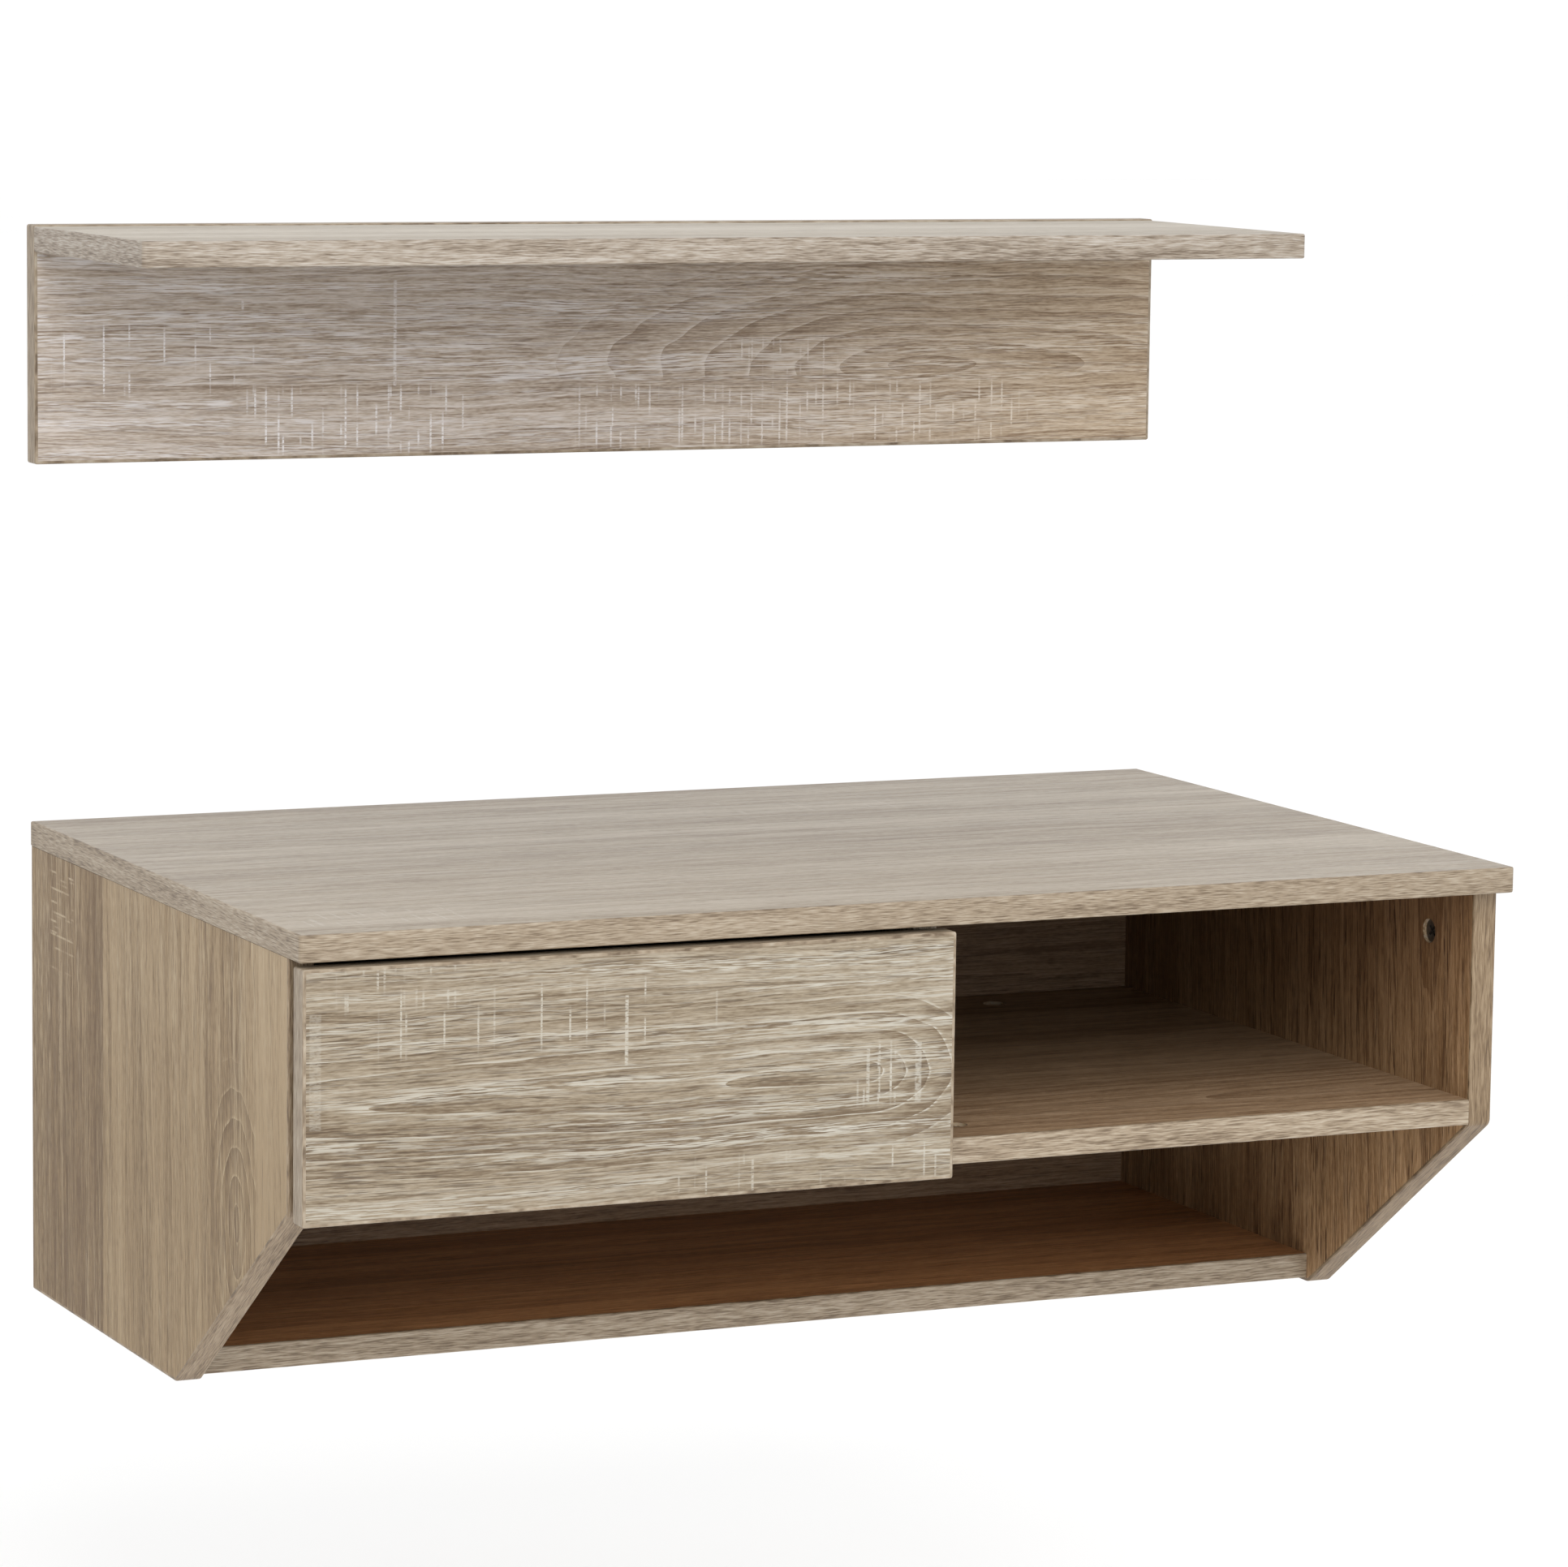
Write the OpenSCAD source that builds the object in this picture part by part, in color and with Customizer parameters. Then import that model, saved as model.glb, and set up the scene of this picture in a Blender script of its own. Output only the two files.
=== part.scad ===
// Wall-hung low TV cabinet with one drawer and two open compartments, and its matching wall shelf.
// Units are millimetres. X runs along the wall, +Y points into the wall and +Z is up.
// The origin is on the wall, midway between the two keyhole entries that the cabinet hangs from.

/* [Overall] */
// Length of the cabinet's top panel
cabinet_w = 800; // [740:1:1200]
// Depth of the cabinet's top panel, from the wall
cabinet_d = 500; // [440:1:620]
// Height of the cabinet
cabinet_h = 305; // [275:1:420]
// Thickness of the melamine-faced boards
board_t = 16; // [15:0.1:20]
// Thickness of the plastic edging on every visible board edge
edging_t = 2; // [1:0.1:3]

/* [Cabinet] */
// How far the top stands out in front of the sides
top_front_overhang = 20; // [5:0.5:40]
// How far the top stands out past each side
top_end_overhang = 0.5; // [0:0.1:5]
// Height of the shelves' underside, where the slanted front edge of each side starts
shelf_under = 140; // [110:1:170]
// Depth of each side at its foot, below the slanted edge
side_foot_d = 283; // [200:1:380]
// Height of the bottom panel's underside above the sides' feet
bottom_lift = 2.5; // [0:0.1:10]
// How far the bottom panel's front stays behind the sides' feet
bottom_setback = 2; // [0:0.1:20]
// Distance of the divider to the right of the middle
divider_shift = 3; // [-100:0.5:100]
// Height of the top surface above the keyhole entries
hanger_drop = 50; // [46:1:80]
// Distance between the two keyhole entries
hanger_pitch = 600; // [300:1:600]

/* [Drawer] */
// Gap between the top panel and the drawer front
front_gap_top = 3; // [1:0.1:6]
// How far the drawer front hangs below the shelf, as a finger grip
front_drop = 3; // [0:0.1:20]
// Gap between the carcass and the back of the drawer front
front_standoff = 8; // [3:0.1:15]
// How far the drawer front reaches past the divider
front_overlap = 1.5; // [0:0.1:10]
// Space for a runner on each side of the drawer box
runner_gap = 12.5; // [12:0.1:18]
// Free space between the drawer box and the top panel
drawer_headroom = 22; // [15:0.5:40]
// Free space between the drawer box and the back panel
drawer_rear_room = 49.5; // [20:0.5:120]
// Free space between the runners and the back panel
runner_rear_room = 59.5; // [20:0.5:120]
// Radius of the runners' rollers
roller_r = 8; // [7:0.1:10]
// Thickness of the drawer's hardboard bottom
drawer_bottom_t = 3; // [2.5:0.1:6]

/* [Wall shelf] */
// Length of the wall shelf
wall_shelf_w = 796; // [700:1:1200]
// Depth of the wall shelf, from the wall
wall_shelf_d = 229; // [150:1:300]
// Height of the wall shelf's back panel
wall_shelf_h = 151; // [120:1:250]
// Height of the wall shelf's lower edge above the cabinet's top
wall_shelf_rise = 230; // [100:1:600]
// Distance of the wall shelf to the right of the cabinet's middle
wall_shelf_shift = -3.5; // [-100:0.5:100]
// How far the back panel stands up behind the board
wall_shelf_lip = 1; // [0:0.1:20]
// Depth of the keyhole entries below the back panel's top edge
wall_shelf_hanger_drop = 55; // [45:1:90]

/* [Fittings] */
// Radius of a cam lock
cam_r = 7.5; // [6:0.1:9]
// Depth of a cam lock's face below the board's face
cam_recess = 2.5; // [0:0.1:3]
// Distance from a board's edge to the middle of its cam lock
cam_reach = 34; // [24:1:34]
// Radius of a wooden dowel
dowel_r = 4; // [3:0.1:5]
// Thickness of a keyhole plate
hanger_t = 2.5; // [2:0.1:4]
// Thickness of the runners' steel
runner_t = 1.2; // [1:0.1:1.5]

/* [Hidden] */
$fn = 48;

// Colours
oak_top = [0.80, 0.76, 0.71];
oak_face = [0.70, 0.63, 0.54];
oak_inside = [0.55, 0.46, 0.37];
oak_edging = [0.66, 0.57, 0.46];
zinc = [0.55, 0.55, 0.56];
bare_wood = [0.80, 0.68, 0.50];
hardboard = [0.60, 0.50, 0.40];
white_steel = [0.90, 0.90, 0.88];
white_plastic = [0.95, 0.95, 0.93];

// Slack between a fitting and the hole that it sits in
slack = 0.1;
// Running clearance between a roller and its pin
pin_clearance = 0.05;
// Rolling clearance between a roller and a flange
roll_gap = 0.3;
// Length by which a cut runs past the face that it opens
over = 1;

// Carcass, measured from the cabinet's own underside and from the wall
top_under = cabinet_h - board_t;
carcass_d = cabinet_d - top_front_overhang;
outer_x = cabinet_w / 2 - top_end_overhang;
inner_x = outer_x - board_t;
side_mid_x = outer_x - board_t / 2;
back_front = hanger_t + board_t;
shelf_top = shelf_under + board_t;
bottom_top = bottom_lift + board_t;
bottom_front = side_foot_d - bottom_setback;
divider_left_x = divider_shift - board_t / 2;
divider_right_x = divider_shift + board_t / 2;
slant_run = carcass_d - side_foot_d;
slant_slope = shelf_under / slant_run;
slant_lift = edging_t * sqrt(1 + slant_slope * slant_slope);
base_z = hanger_drop - cabinet_h;

// Drawer
front_back_d = carcass_d + front_standoff;
front_face_d = front_back_d + board_t;
front_low_z = shelf_under - front_drop;
front_high_z = top_under - front_gap_top;
front_left_x = -outer_x;
front_right_x = divider_right_x + front_overlap;
box_left_x = -inner_x + runner_gap;
box_right_x = divider_left_x - runner_gap;
box_rear_d = back_front + drawer_rear_room;
box_top_z = top_under - drawer_headroom;

// Runners, from the shelf upwards
runner_lift = 1.5;
foot_gap = 1.3;
flange_gap = 0.8;
low_flange_z = shelf_top + runner_lift;
roller_z = low_flange_z + runner_t + roll_gap + roller_r;
running_flange_z = roller_z + roller_r + roll_gap;
high_flange_z = running_flange_z + runner_t + flange_gap;
foot_z = low_flange_z + runner_t + foot_gap;
box_low_z = foot_z + runner_t;
runner_setback = 2;
runner_front_d = carcass_d - runner_setback;
runner_rear_d = back_front + runner_rear_room;
runner_l = runner_front_d - runner_rear_d;
drawer_runner_front_d = front_back_d - runner_setback;
drawer_runner_rear_d = drawer_runner_front_d - runner_l;
roller_inset = 12;
cabinet_roller_d = runner_front_d - roller_inset;
drawer_roller_d = drawer_runner_rear_d + roller_inset;
roller_start = 4.1;
roller_end = runner_gap - 3;
pin_r = 2;
pin_head_r = 3.2;
pin_head_t = 0.7;
pin_play = 0.1;
low_flange_w = runner_gap - 1.2;
high_flange_w = runner_gap - 1.6;
running_flange_start = 3.5;
foot_w = 12;
foot_screw_x = 5.5;
runner_screw_inset = 60;
cabinet_screw_r = 1.9;
cabinet_screw_l = 12;
cabinet_screw_head_r = 3.5;
cabinet_screw_head_t = 1.5;
foot_screw_r = 1.7;
foot_screw_l = 9;
foot_screw_head_r = 3.2;
foot_screw_head_t = 1.4;

// Drawer bottom in its groove
groove_lift = 10;
groove_depth = 8;
groove_z = box_low_z + groove_lift;
bottom_inlet = groove_depth - 0.5;

// Cam joints, with the fitting's lengths from the joint plane
cam_pocket_r = cam_r + 0.25;
cam_pocket_depth = board_t / 2 + 5.5;
cam_h = cam_pocket_depth - cam_recess;
cam_slot_l = 9;
cam_slot_w = 1.8;
cam_slot_depth = 2.2;
cam_mouth_r = 3.9;
cam_mouth_past = 3;
bolt_thread_r = 2.9;
bolt_thread_l = 10.5;
bolt_shank_r = 3.4;
bolt_shank_l = cam_reach - 10;
bolt_neck_r = 2;
bolt_head_r = 3.2;
bolt_head_l = 3;
bolt_bore_r = 4;
dowel_in_face = 10;
dowel_in_edge = 20;
dowel_pitch = 32;

// Places of the joints: depths from the wall, and heights
cam_front_inset = 54;
shelf_cam_front_inset = 40;
cam_rear_d = 75;
shelf_back_inset = 118;
side_cam_depths = [carcass_d - cam_front_inset, cam_rear_d];
side_dowel_depths = [carcass_d - cam_front_inset - dowel_pitch, cam_rear_d + dowel_pitch];
shelf_cam_depths = [carcass_d - shelf_cam_front_inset, cam_rear_d];
shelf_dowel_depths = [carcass_d - shelf_cam_front_inset - dowel_pitch, cam_rear_d + dowel_pitch];
bottom_cam_inset = 45;
bottom_cam_depths = [bottom_front - bottom_cam_inset, back_front + bottom_cam_inset];
bottom_dowel_d = (bottom_front + back_front) / 2;
back_mid_d = hanger_t + board_t / 2;
back_cam_heights = [bottom_lift + 48, top_under - 74];
back_dowel_z = (bottom_lift + top_under) / 2;

// Each joint is [point on the joint plane, direction into the edge board, side that the cam opens to]
top_side_cams = [
    for (s = [-1, 1], d = side_cam_depths) [[s * side_mid_x, -d, top_under], [0, 0, -1], [-s, 0, 0]]
];
top_side_dowels = [
    for (s = [-1, 1], d = side_dowel_depths) [[s * side_mid_x, -d, top_under], [0, 0, -1], [-s, 0, 0]]
];
top_divider_cams = [
    for (d = side_cam_depths) [[divider_shift, -d, top_under], [0, 0, -1], [1, 0, 0]]
];
top_divider_dowels = [
    for (d = side_dowel_depths) [[divider_shift, -d, top_under], [0, 0, -1], [1, 0, 0]]
];
shelf_mid_z = shelf_under + board_t / 2;
left_shelf_divider_cams = [
    for (d = shelf_cam_depths) [[divider_left_x, -d, shelf_mid_z], [-1, 0, 0], [0, 0, 1]]
];
right_shelf_divider_cams = [
    for (d = shelf_cam_depths) [[divider_right_x, -d, shelf_mid_z], [1, 0, 0], [0, 0, 1]]
];
shelf_divider_dowels = [
    for (d = shelf_dowel_depths) [[divider_left_x, -d, shelf_mid_z], [-1, 0, 0], [0, 0, 1]]
];
left_shelf_side_cams = [
    for (d = shelf_cam_depths) [[-inner_x, -d, shelf_mid_z], [1, 0, 0], [0, 0, -1]]
];
left_shelf_side_dowels = [
    for (d = shelf_dowel_depths) [[-inner_x, -d, shelf_mid_z], [1, 0, 0], [0, 0, -1]]
];
right_shelf_side_cams = [
    for (d = shelf_cam_depths) [[inner_x, -d, shelf_mid_z], [-1, 0, 0], [0, 0, -1]]
];
right_shelf_side_dowels = [
    for (d = shelf_dowel_depths) [[inner_x, -d, shelf_mid_z], [-1, 0, 0], [0, 0, -1]]
];
left_shelf_back_cams = [
    for (x = [-inner_x + shelf_back_inset, divider_left_x - shelf_back_inset])
        [[x, -back_front, shelf_mid_z], [0, -1, 0], [0, 0, 1]]
];
right_shelf_back_cams = [
    for (x = [inner_x - shelf_back_inset, divider_right_x + shelf_back_inset])
        [[x, -back_front, shelf_mid_z], [0, -1, 0], [0, 0, 1]]
];
bottom_mid_z = bottom_lift + board_t / 2;
bottom_side_cams = [
    for (s = [-1, 1], d = bottom_cam_depths) [[s * inner_x, -d, bottom_mid_z], [-s, 0, 0], [0, 0, -1]]
];
bottom_side_dowels = [
    for (s = [-1, 1]) [[s * inner_x, -bottom_dowel_d, bottom_mid_z], [-s, 0, 0], [0, 0, -1]]
];
back_side_cams = [
    for (s = [-1, 1], z = back_cam_heights) [[s * inner_x, -back_mid_d, z], [-s, 0, 0], [0, 1, 0]]
];
back_side_dowels = [
    for (s = [-1, 1]) [[s * inner_x, -back_mid_d, back_dowel_z], [-s, 0, 0], [0, 1, 0]]
];
carcass_cams = concat(
    top_side_cams, top_divider_cams, left_shelf_side_cams, right_shelf_side_cams,
    left_shelf_back_cams, right_shelf_back_cams, bottom_side_cams, back_side_cams
);
divider_cams = concat(left_shelf_divider_cams, right_shelf_divider_cams);
carcass_dowels = concat(
    top_side_dowels, top_divider_dowels, left_shelf_side_dowels, right_shelf_side_dowels,
    bottom_side_dowels, back_side_dowels
);
divider_dowel_l = board_t + 2 * dowel_in_edge;

// Drawer joints
drawer_joint_z = (groove_z + drawer_bottom_t + box_top_z) / 2;
drawer_dowel_rise = 16;
box_side_mids = [box_left_x + board_t / 2, box_right_x - board_t / 2];
drawer_cams = [
    for (i = [0, 1])
        [[box_side_mids[i], -front_back_d, drawer_joint_z], [0, 1, 0], [i == 0 ? 1 : -1, 0, 0]]
];
drawer_front_dowels = [
    for (x = box_side_mids, s = [-1, 1])
        [[x, -front_back_d, drawer_joint_z + s * drawer_dowel_rise], [0, 1, 0], [1, 0, 0]]
];
box_back_mid_d = box_rear_d + board_t / 2;
drawer_screw_joints = [
    for (i = [0, 1], s = [-1, 1]) [
        [i == 0 ? box_left_x + board_t : box_right_x - board_t, -box_back_mid_d,
            drawer_joint_z + s * drawer_dowel_rise],
        [i == 0 ? 1 : -1, 0, 0], [0, 0, 1]
    ]
];

// Long assembly screws
screw_shank_r = 3.4;
screw_thread_r = 2.4;
screw_thread_l = 32;
screw_head_r = 4.8;
screw_head_l = 3;
screw_socket_r = 2.2;
screw_socket_depth = 2.4;

// Keyhole plates
plate_w = 70;
plate_h = 44;
keyhole_entry_r = 5;
keyhole_slot_r = 2.75;
keyhole_rise = 11;
keyhole_pocket_r = 12;
keyhole_pocket_depth = 9;
plate_screw_x = 26;
plate_screw_z = 4;
plate_screw_r = 1.9;
plate_screw_head_r = 3.6;
plate_screw_l = 11;

// Wall shelf, measured from its own lower edge
wall_shelf_top = wall_shelf_h - wall_shelf_lip;
wall_shelf_under = wall_shelf_top - board_t;
wall_shelf_mid_z = wall_shelf_top - board_t / 2;
wall_shelf_hanger_z = wall_shelf_h - wall_shelf_hanger_drop;
wall_shelf_base_z = hanger_drop + wall_shelf_rise;
wall_shelf_end_inset = 60;
wall_shelf_reach = wall_shelf_w / 2 - wall_shelf_end_inset;
wall_shelf_screw_joints = [
    for (k = [-1, -1 / 3, 1 / 3, 1])
        [[k * wall_shelf_reach, -board_t, wall_shelf_mid_z], [0, -1, 0], [0, 0, 1]]
];
wall_shelf_dowel_joints = [
    for (k = [-2 / 3, 0, 2 / 3])
        [[k * wall_shelf_reach, -board_t, wall_shelf_mid_z], [0, -1, 0], [0, 0, 1]]
];

// ---- shared shapes ----

module in_cabinet() {
    translate([0, 0, base_z]) children();
}

module in_wall_shelf() {
    translate([wall_shelf_shift, 0, wall_shelf_base_z]) children();
}

// A box between two opposite corners
module slab(low, high) {
    translate(low) cube(high - low);
}

// Turns local +Z along the joint and local +Y to the side that the cam opens to
module at_joint(j) {
    across = cross(j[2], j[1]);
    multmatrix([
        [across[0], j[2][0], j[1][0], j[0][0]],
        [across[1], j[2][1], j[1][1], j[0][1]],
        [across[2], j[2][2], j[1][2], j[0][2]],
        [0, 0, 0, 1]
    ]) children();
}

module cam_cuts(joints) {
    for (j = joints) at_joint(j) {
        translate([0, 0, -bolt_thread_l - slack]) cylinder(r = bolt_thread_r + slack, h = cam_reach);
        cylinder(r = bolt_bore_r, h = cam_reach);
        translate([0, board_t / 2 + over, cam_reach])
            rotate([90, 0, 0]) cylinder(r = cam_pocket_r, h = cam_pocket_depth + over);
    }
}

module cam_lock() {
    translate([0, board_t / 2 - cam_recess, cam_reach]) rotate([90, 0, 0]) difference() {
        cylinder(r = cam_r, h = cam_h);
        for (turn = [45, 135]) rotate(turn)
            translate([-cam_slot_l / 2, -cam_slot_w / 2, -over])
                cube([cam_slot_l, cam_slot_w, cam_slot_depth + over]);
        translate([0, cam_mouth_past, board_t / 2 - cam_recess]) rotate([90, 0, 0])
            cylinder(r = cam_mouth_r, h = cam_r + cam_mouth_past + over);
    }
}

// The end of a bolt that a cam lock draws in
module bolt_end() {
    cylinder(r = bolt_shank_r, h = bolt_shank_l);
    cylinder(r = bolt_neck_r, h = cam_reach);
    translate([0, 0, cam_reach - bolt_head_l]) cylinder(r = bolt_head_r, h = bolt_head_l);
}

module cam_bolt() {
    translate([0, 0, -bolt_thread_l]) cylinder(r = bolt_thread_r, h = bolt_thread_l + over);
    bolt_end();
}

module double_cam_bolt() {
    translate([0, 0, -board_t - over]) cylinder(r = bolt_thread_r, h = board_t + 2 * over);
    bolt_end();
    translate([0, 0, -board_t]) rotate([180, 0, 0]) bolt_end();
}

module dowel_cuts(joints) {
    for (j = joints) at_joint(j)
        translate([0, 0, -dowel_in_face - slack])
            cylinder(r = dowel_r + slack, h = dowel_in_face + dowel_in_edge + 2 * slack);
}

module dowel() {
    translate([0, 0, -dowel_in_face]) cylinder(r = dowel_r, h = dowel_in_face + dowel_in_edge);
}

module long_screw_shape(extra) {
    translate([0, 0, -board_t])
        cylinder(r1 = screw_head_r + extra, r2 = screw_shank_r + extra, h = screw_head_l);
    translate([0, 0, -board_t]) cylinder(r = screw_shank_r + extra, h = board_t - slack + extra);
    translate([0, 0, -over]) cylinder(r = screw_thread_r + extra, h = screw_thread_l + over + 2 * extra);
}

module long_screw() {
    difference() {
        translate([0, 0, slack]) long_screw_shape(0);
        translate([0, 0, -board_t - over])
            cylinder(r = screw_socket_r, h = over + screw_socket_depth, $fn = 6);
    }
}

module long_screw_cuts(joints) {
    for (j = joints) at_joint(j) {
        long_screw_shape(slack);
        translate([0, 0, -board_t - over]) cylinder(r = screw_head_r + slack, h = over + slack);
    }
}

// A keyhole plate, flat against the wall at y = 0, with its entry at the origin
module keyhole_plate() {
    rotate([90, 0, 0]) difference() {
        translate([-plate_w / 2, -plate_h / 2 + keyhole_rise / 2, 0]) cube([plate_w, plate_h, hanger_t]);
        translate([0, 0, -over]) {
            cylinder(r = keyhole_entry_r, h = hanger_t + 2 * over);
            translate([0, keyhole_rise, 0]) cylinder(r = keyhole_slot_r, h = hanger_t + 2 * over);
            translate([-keyhole_slot_r, 0, 0])
                cube([2 * keyhole_slot_r, keyhole_rise, hanger_t + 2 * over]);
        }
        for (s = [-1, 1]) translate([s * plate_screw_x, plate_screw_z, 0]) plate_screw_shape(slack, over);
    }
}

module plate_screw_shape(extra, far) {
    translate([0, 0, -far]) cylinder(r = plate_screw_head_r + extra, h = far + slack);
    translate([0, 0, slack])
        cylinder(r1 = plate_screw_head_r + extra, r2 = plate_screw_r + extra, h = hanger_t - 2 * slack);
    cylinder(r = plate_screw_r + extra, h = hanger_t + plate_screw_l + extra);
}

module keyhole_plates() {
    for (s = [-1, 1]) translate([s * hanger_pitch / 2, 0, 0]) keyhole_plate();
}

module keyhole_screws() {
    for (s = [-1, 1], t = [-1, 1])
        translate([s * hanger_pitch / 2 + t * plate_screw_x, 0, plate_screw_z])
            rotate([90, 0, 0]) plate_screw_shape(0, 0);
}

// Room in the board behind each keyhole for the wall screw's head, and the plate's own screw holes
module keyhole_cuts() {
    for (s = [-1, 1]) translate([s * hanger_pitch / 2, 0, 0]) {
        for (z = [0, keyhole_rise]) translate([0, over, z])
            rotate([90, 0, 0]) cylinder(r = keyhole_pocket_r, h = hanger_t + keyhole_pocket_depth + over);
        for (t = [-1, 1]) translate([t * plate_screw_x, 0, plate_screw_z])
            rotate([90, 0, 0]) plate_screw_shape(slack, over);
    }
}

// ---- cabinet boards ----

module top_panel() {
    color(oak_top) in_cabinet() difference() {
        slab(
            [-cabinet_w / 2 + edging_t, -cabinet_d + edging_t, top_under],
            [cabinet_w / 2 - edging_t, 0, cabinet_h]
        );
        cam_cuts(concat(top_side_cams, top_divider_cams));
        dowel_cuts(concat(top_side_dowels, top_divider_dowels));
    }
}

module top_panel_edging() {
    color(oak_edging) in_cabinet() difference() {
        slab([-cabinet_w / 2, -cabinet_d, top_under], [cabinet_w / 2, 0, cabinet_h]);
        slab(
            [-cabinet_w / 2 + edging_t, -cabinet_d + edging_t, top_under - over],
            [cabinet_w / 2 - edging_t, over, cabinet_h + over]
        );
    }
}

// Outline of a side as [y, z]: inset by its edging on the foot, slant and front, whose slant then
// rises by lift, and run past its back and top by far
function side_outline(inset, lift, far) = [
    [far, inset],
    [-side_foot_d - (inset - lift) / slant_slope, inset],
    [-carcass_d + inset, slant_slope * (slant_run - inset) + lift],
    [-carcass_d + inset, top_under + far],
    [far, top_under + far]
];

// Extrudes an outline in the side's plane across one board, from x = low_x
module side_slab(low_x) {
    translate([low_x, 0, 0]) rotate([90, 0, 90]) linear_extrude(height = board_t) children();
}

module side_board(s) {
    side_slab(s < 0 ? -outer_x : inner_x) polygon(side_outline(edging_t, slant_lift, 0));
}

module side_band(s) {
    side_slab(s < 0 ? -outer_x : inner_x) difference() {
        polygon(side_outline(0, 0, 0));
        polygon(side_outline(edging_t, slant_lift, over));
    }
}

module side_panel_left() {
    color(oak_face) in_cabinet() difference() {
        side_board(-1);
        cam_cuts(concat(top_side_cams, left_shelf_side_cams, bottom_side_cams, back_side_cams));
        dowel_cuts(concat(top_side_dowels, left_shelf_side_dowels, bottom_side_dowels, back_side_dowels));
        cabinet_screw_cuts(-1);
    }
}

module side_panel_right() {
    color(oak_face) in_cabinet() difference() {
        side_board(1);
        cam_cuts(concat(top_side_cams, right_shelf_side_cams, bottom_side_cams, back_side_cams));
        dowel_cuts(concat(top_side_dowels, right_shelf_side_dowels, bottom_side_dowels, back_side_dowels));
    }
}

module side_edging_left() {
    color(oak_edging) in_cabinet() side_band(-1);
}

module side_edging_right() {
    color(oak_edging) in_cabinet() side_band(1);
}

module divider_panel() {
    color(oak_inside) in_cabinet() difference() {
        slab([divider_left_x, -carcass_d + edging_t, shelf_under], [divider_right_x, -back_front, top_under]);
        cam_cuts(top_divider_cams);
        dowel_cuts(top_divider_dowels);
        for (j = divider_cams) at_joint(j)
            translate([0, 0, -board_t - over]) cylinder(r = bolt_thread_r + slack, h = board_t + 2 * over);
        for (j = shelf_divider_dowels) at_joint(j)
            translate([0, 0, -board_t - over]) cylinder(r = dowel_r + slack, h = board_t + 2 * over);
        cabinet_screw_cuts(1);
    }
}

module divider_edging() {
    color(oak_edging) in_cabinet()
        slab([divider_left_x, -carcass_d, shelf_under], [divider_right_x, -carcass_d + edging_t, top_under]);
}

module long_dowel_cuts() {
    for (j = shelf_divider_dowels) at_joint(j)
        translate([0, 0, -board_t - dowel_in_edge - slack])
            cylinder(r = dowel_r + slack, h = divider_dowel_l + 2 * slack);
}

module shelf_panel_left() {
    color(oak_inside) in_cabinet() difference() {
        slab([-inner_x, -carcass_d + edging_t, shelf_under], [divider_left_x, -back_front, shelf_top]);
        cam_cuts(concat(left_shelf_side_cams, left_shelf_divider_cams, left_shelf_back_cams));
        dowel_cuts(left_shelf_side_dowels);
        long_dowel_cuts();
    }
}

module shelf_panel_right() {
    color(oak_inside) in_cabinet() difference() {
        slab([divider_right_x, -carcass_d + edging_t, shelf_under], [inner_x, -back_front, shelf_top]);
        cam_cuts(concat(right_shelf_side_cams, right_shelf_divider_cams, right_shelf_back_cams));
        dowel_cuts(right_shelf_side_dowels);
        long_dowel_cuts();
    }
}

module shelf_edging_left() {
    color(oak_edging) in_cabinet()
        slab([-inner_x, -carcass_d, shelf_under], [divider_left_x, -carcass_d + edging_t, shelf_top]);
}

module shelf_edging_right() {
    color(oak_edging) in_cabinet()
        slab([divider_right_x, -carcass_d, shelf_under], [inner_x, -carcass_d + edging_t, shelf_top]);
}

module bottom_panel() {
    color(oak_inside) in_cabinet() difference() {
        slab([-inner_x, -bottom_front + edging_t, bottom_lift], [inner_x, -back_front, bottom_top]);
        cam_cuts(bottom_side_cams);
        dowel_cuts(bottom_side_dowels);
    }
}

module bottom_edging() {
    color(oak_edging) in_cabinet()
        slab([-inner_x, -bottom_front, bottom_lift], [inner_x, -bottom_front + edging_t, bottom_top]);
}

module back_panel() {
    color(oak_inside) difference() {
        in_cabinet() difference() {
            slab([-inner_x, -back_front, bottom_lift], [inner_x, -hanger_t, top_under]);
            cam_cuts(concat(back_side_cams, left_shelf_back_cams, right_shelf_back_cams));
            dowel_cuts(back_side_dowels);
        }
        keyhole_cuts();
    }
}

// ---- cabinet fittings ----

module cam_locks() {
    color(zinc) in_cabinet() for (j = concat(carcass_cams, divider_cams)) at_joint(j) cam_lock();
}

module cam_bolts() {
    color(zinc) in_cabinet() {
        for (j = carcass_cams) at_joint(j) cam_bolt();
        for (j = right_shelf_divider_cams) at_joint(j) double_cam_bolt();
    }
}

module wood_dowels() {
    color(bare_wood) in_cabinet() {
        for (j = carcass_dowels) at_joint(j) dowel();
        for (j = shelf_divider_dowels) at_joint(j)
            translate([0, 0, -board_t - dowel_in_edge]) cylinder(r = dowel_r, h = divider_dowel_l);
    }
}

module hanger_plates() {
    color(zinc) keyhole_plates();
}

module hanger_screws() {
    color(zinc) keyhole_screws();
}

// ---- runners ----

// Places a runner against the board beside the drawer: local x runs from that board to the drawer
module at_runner(s) {
    translate([s < 0 ? -inner_x : divider_left_x, 0, 0]) mirror([s < 0 ? 0 : 1, 0, 0]) children();
}

runner_screw_depths = [
    runner_rear_d + runner_screw_inset,
    (runner_rear_d + runner_front_d) / 2,
    runner_front_d - runner_screw_inset
];
foot_screw_depths = [
    drawer_runner_rear_d + runner_screw_inset,
    (drawer_runner_rear_d + drawer_runner_front_d) / 2,
    drawer_runner_front_d - runner_screw_inset
];

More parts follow.
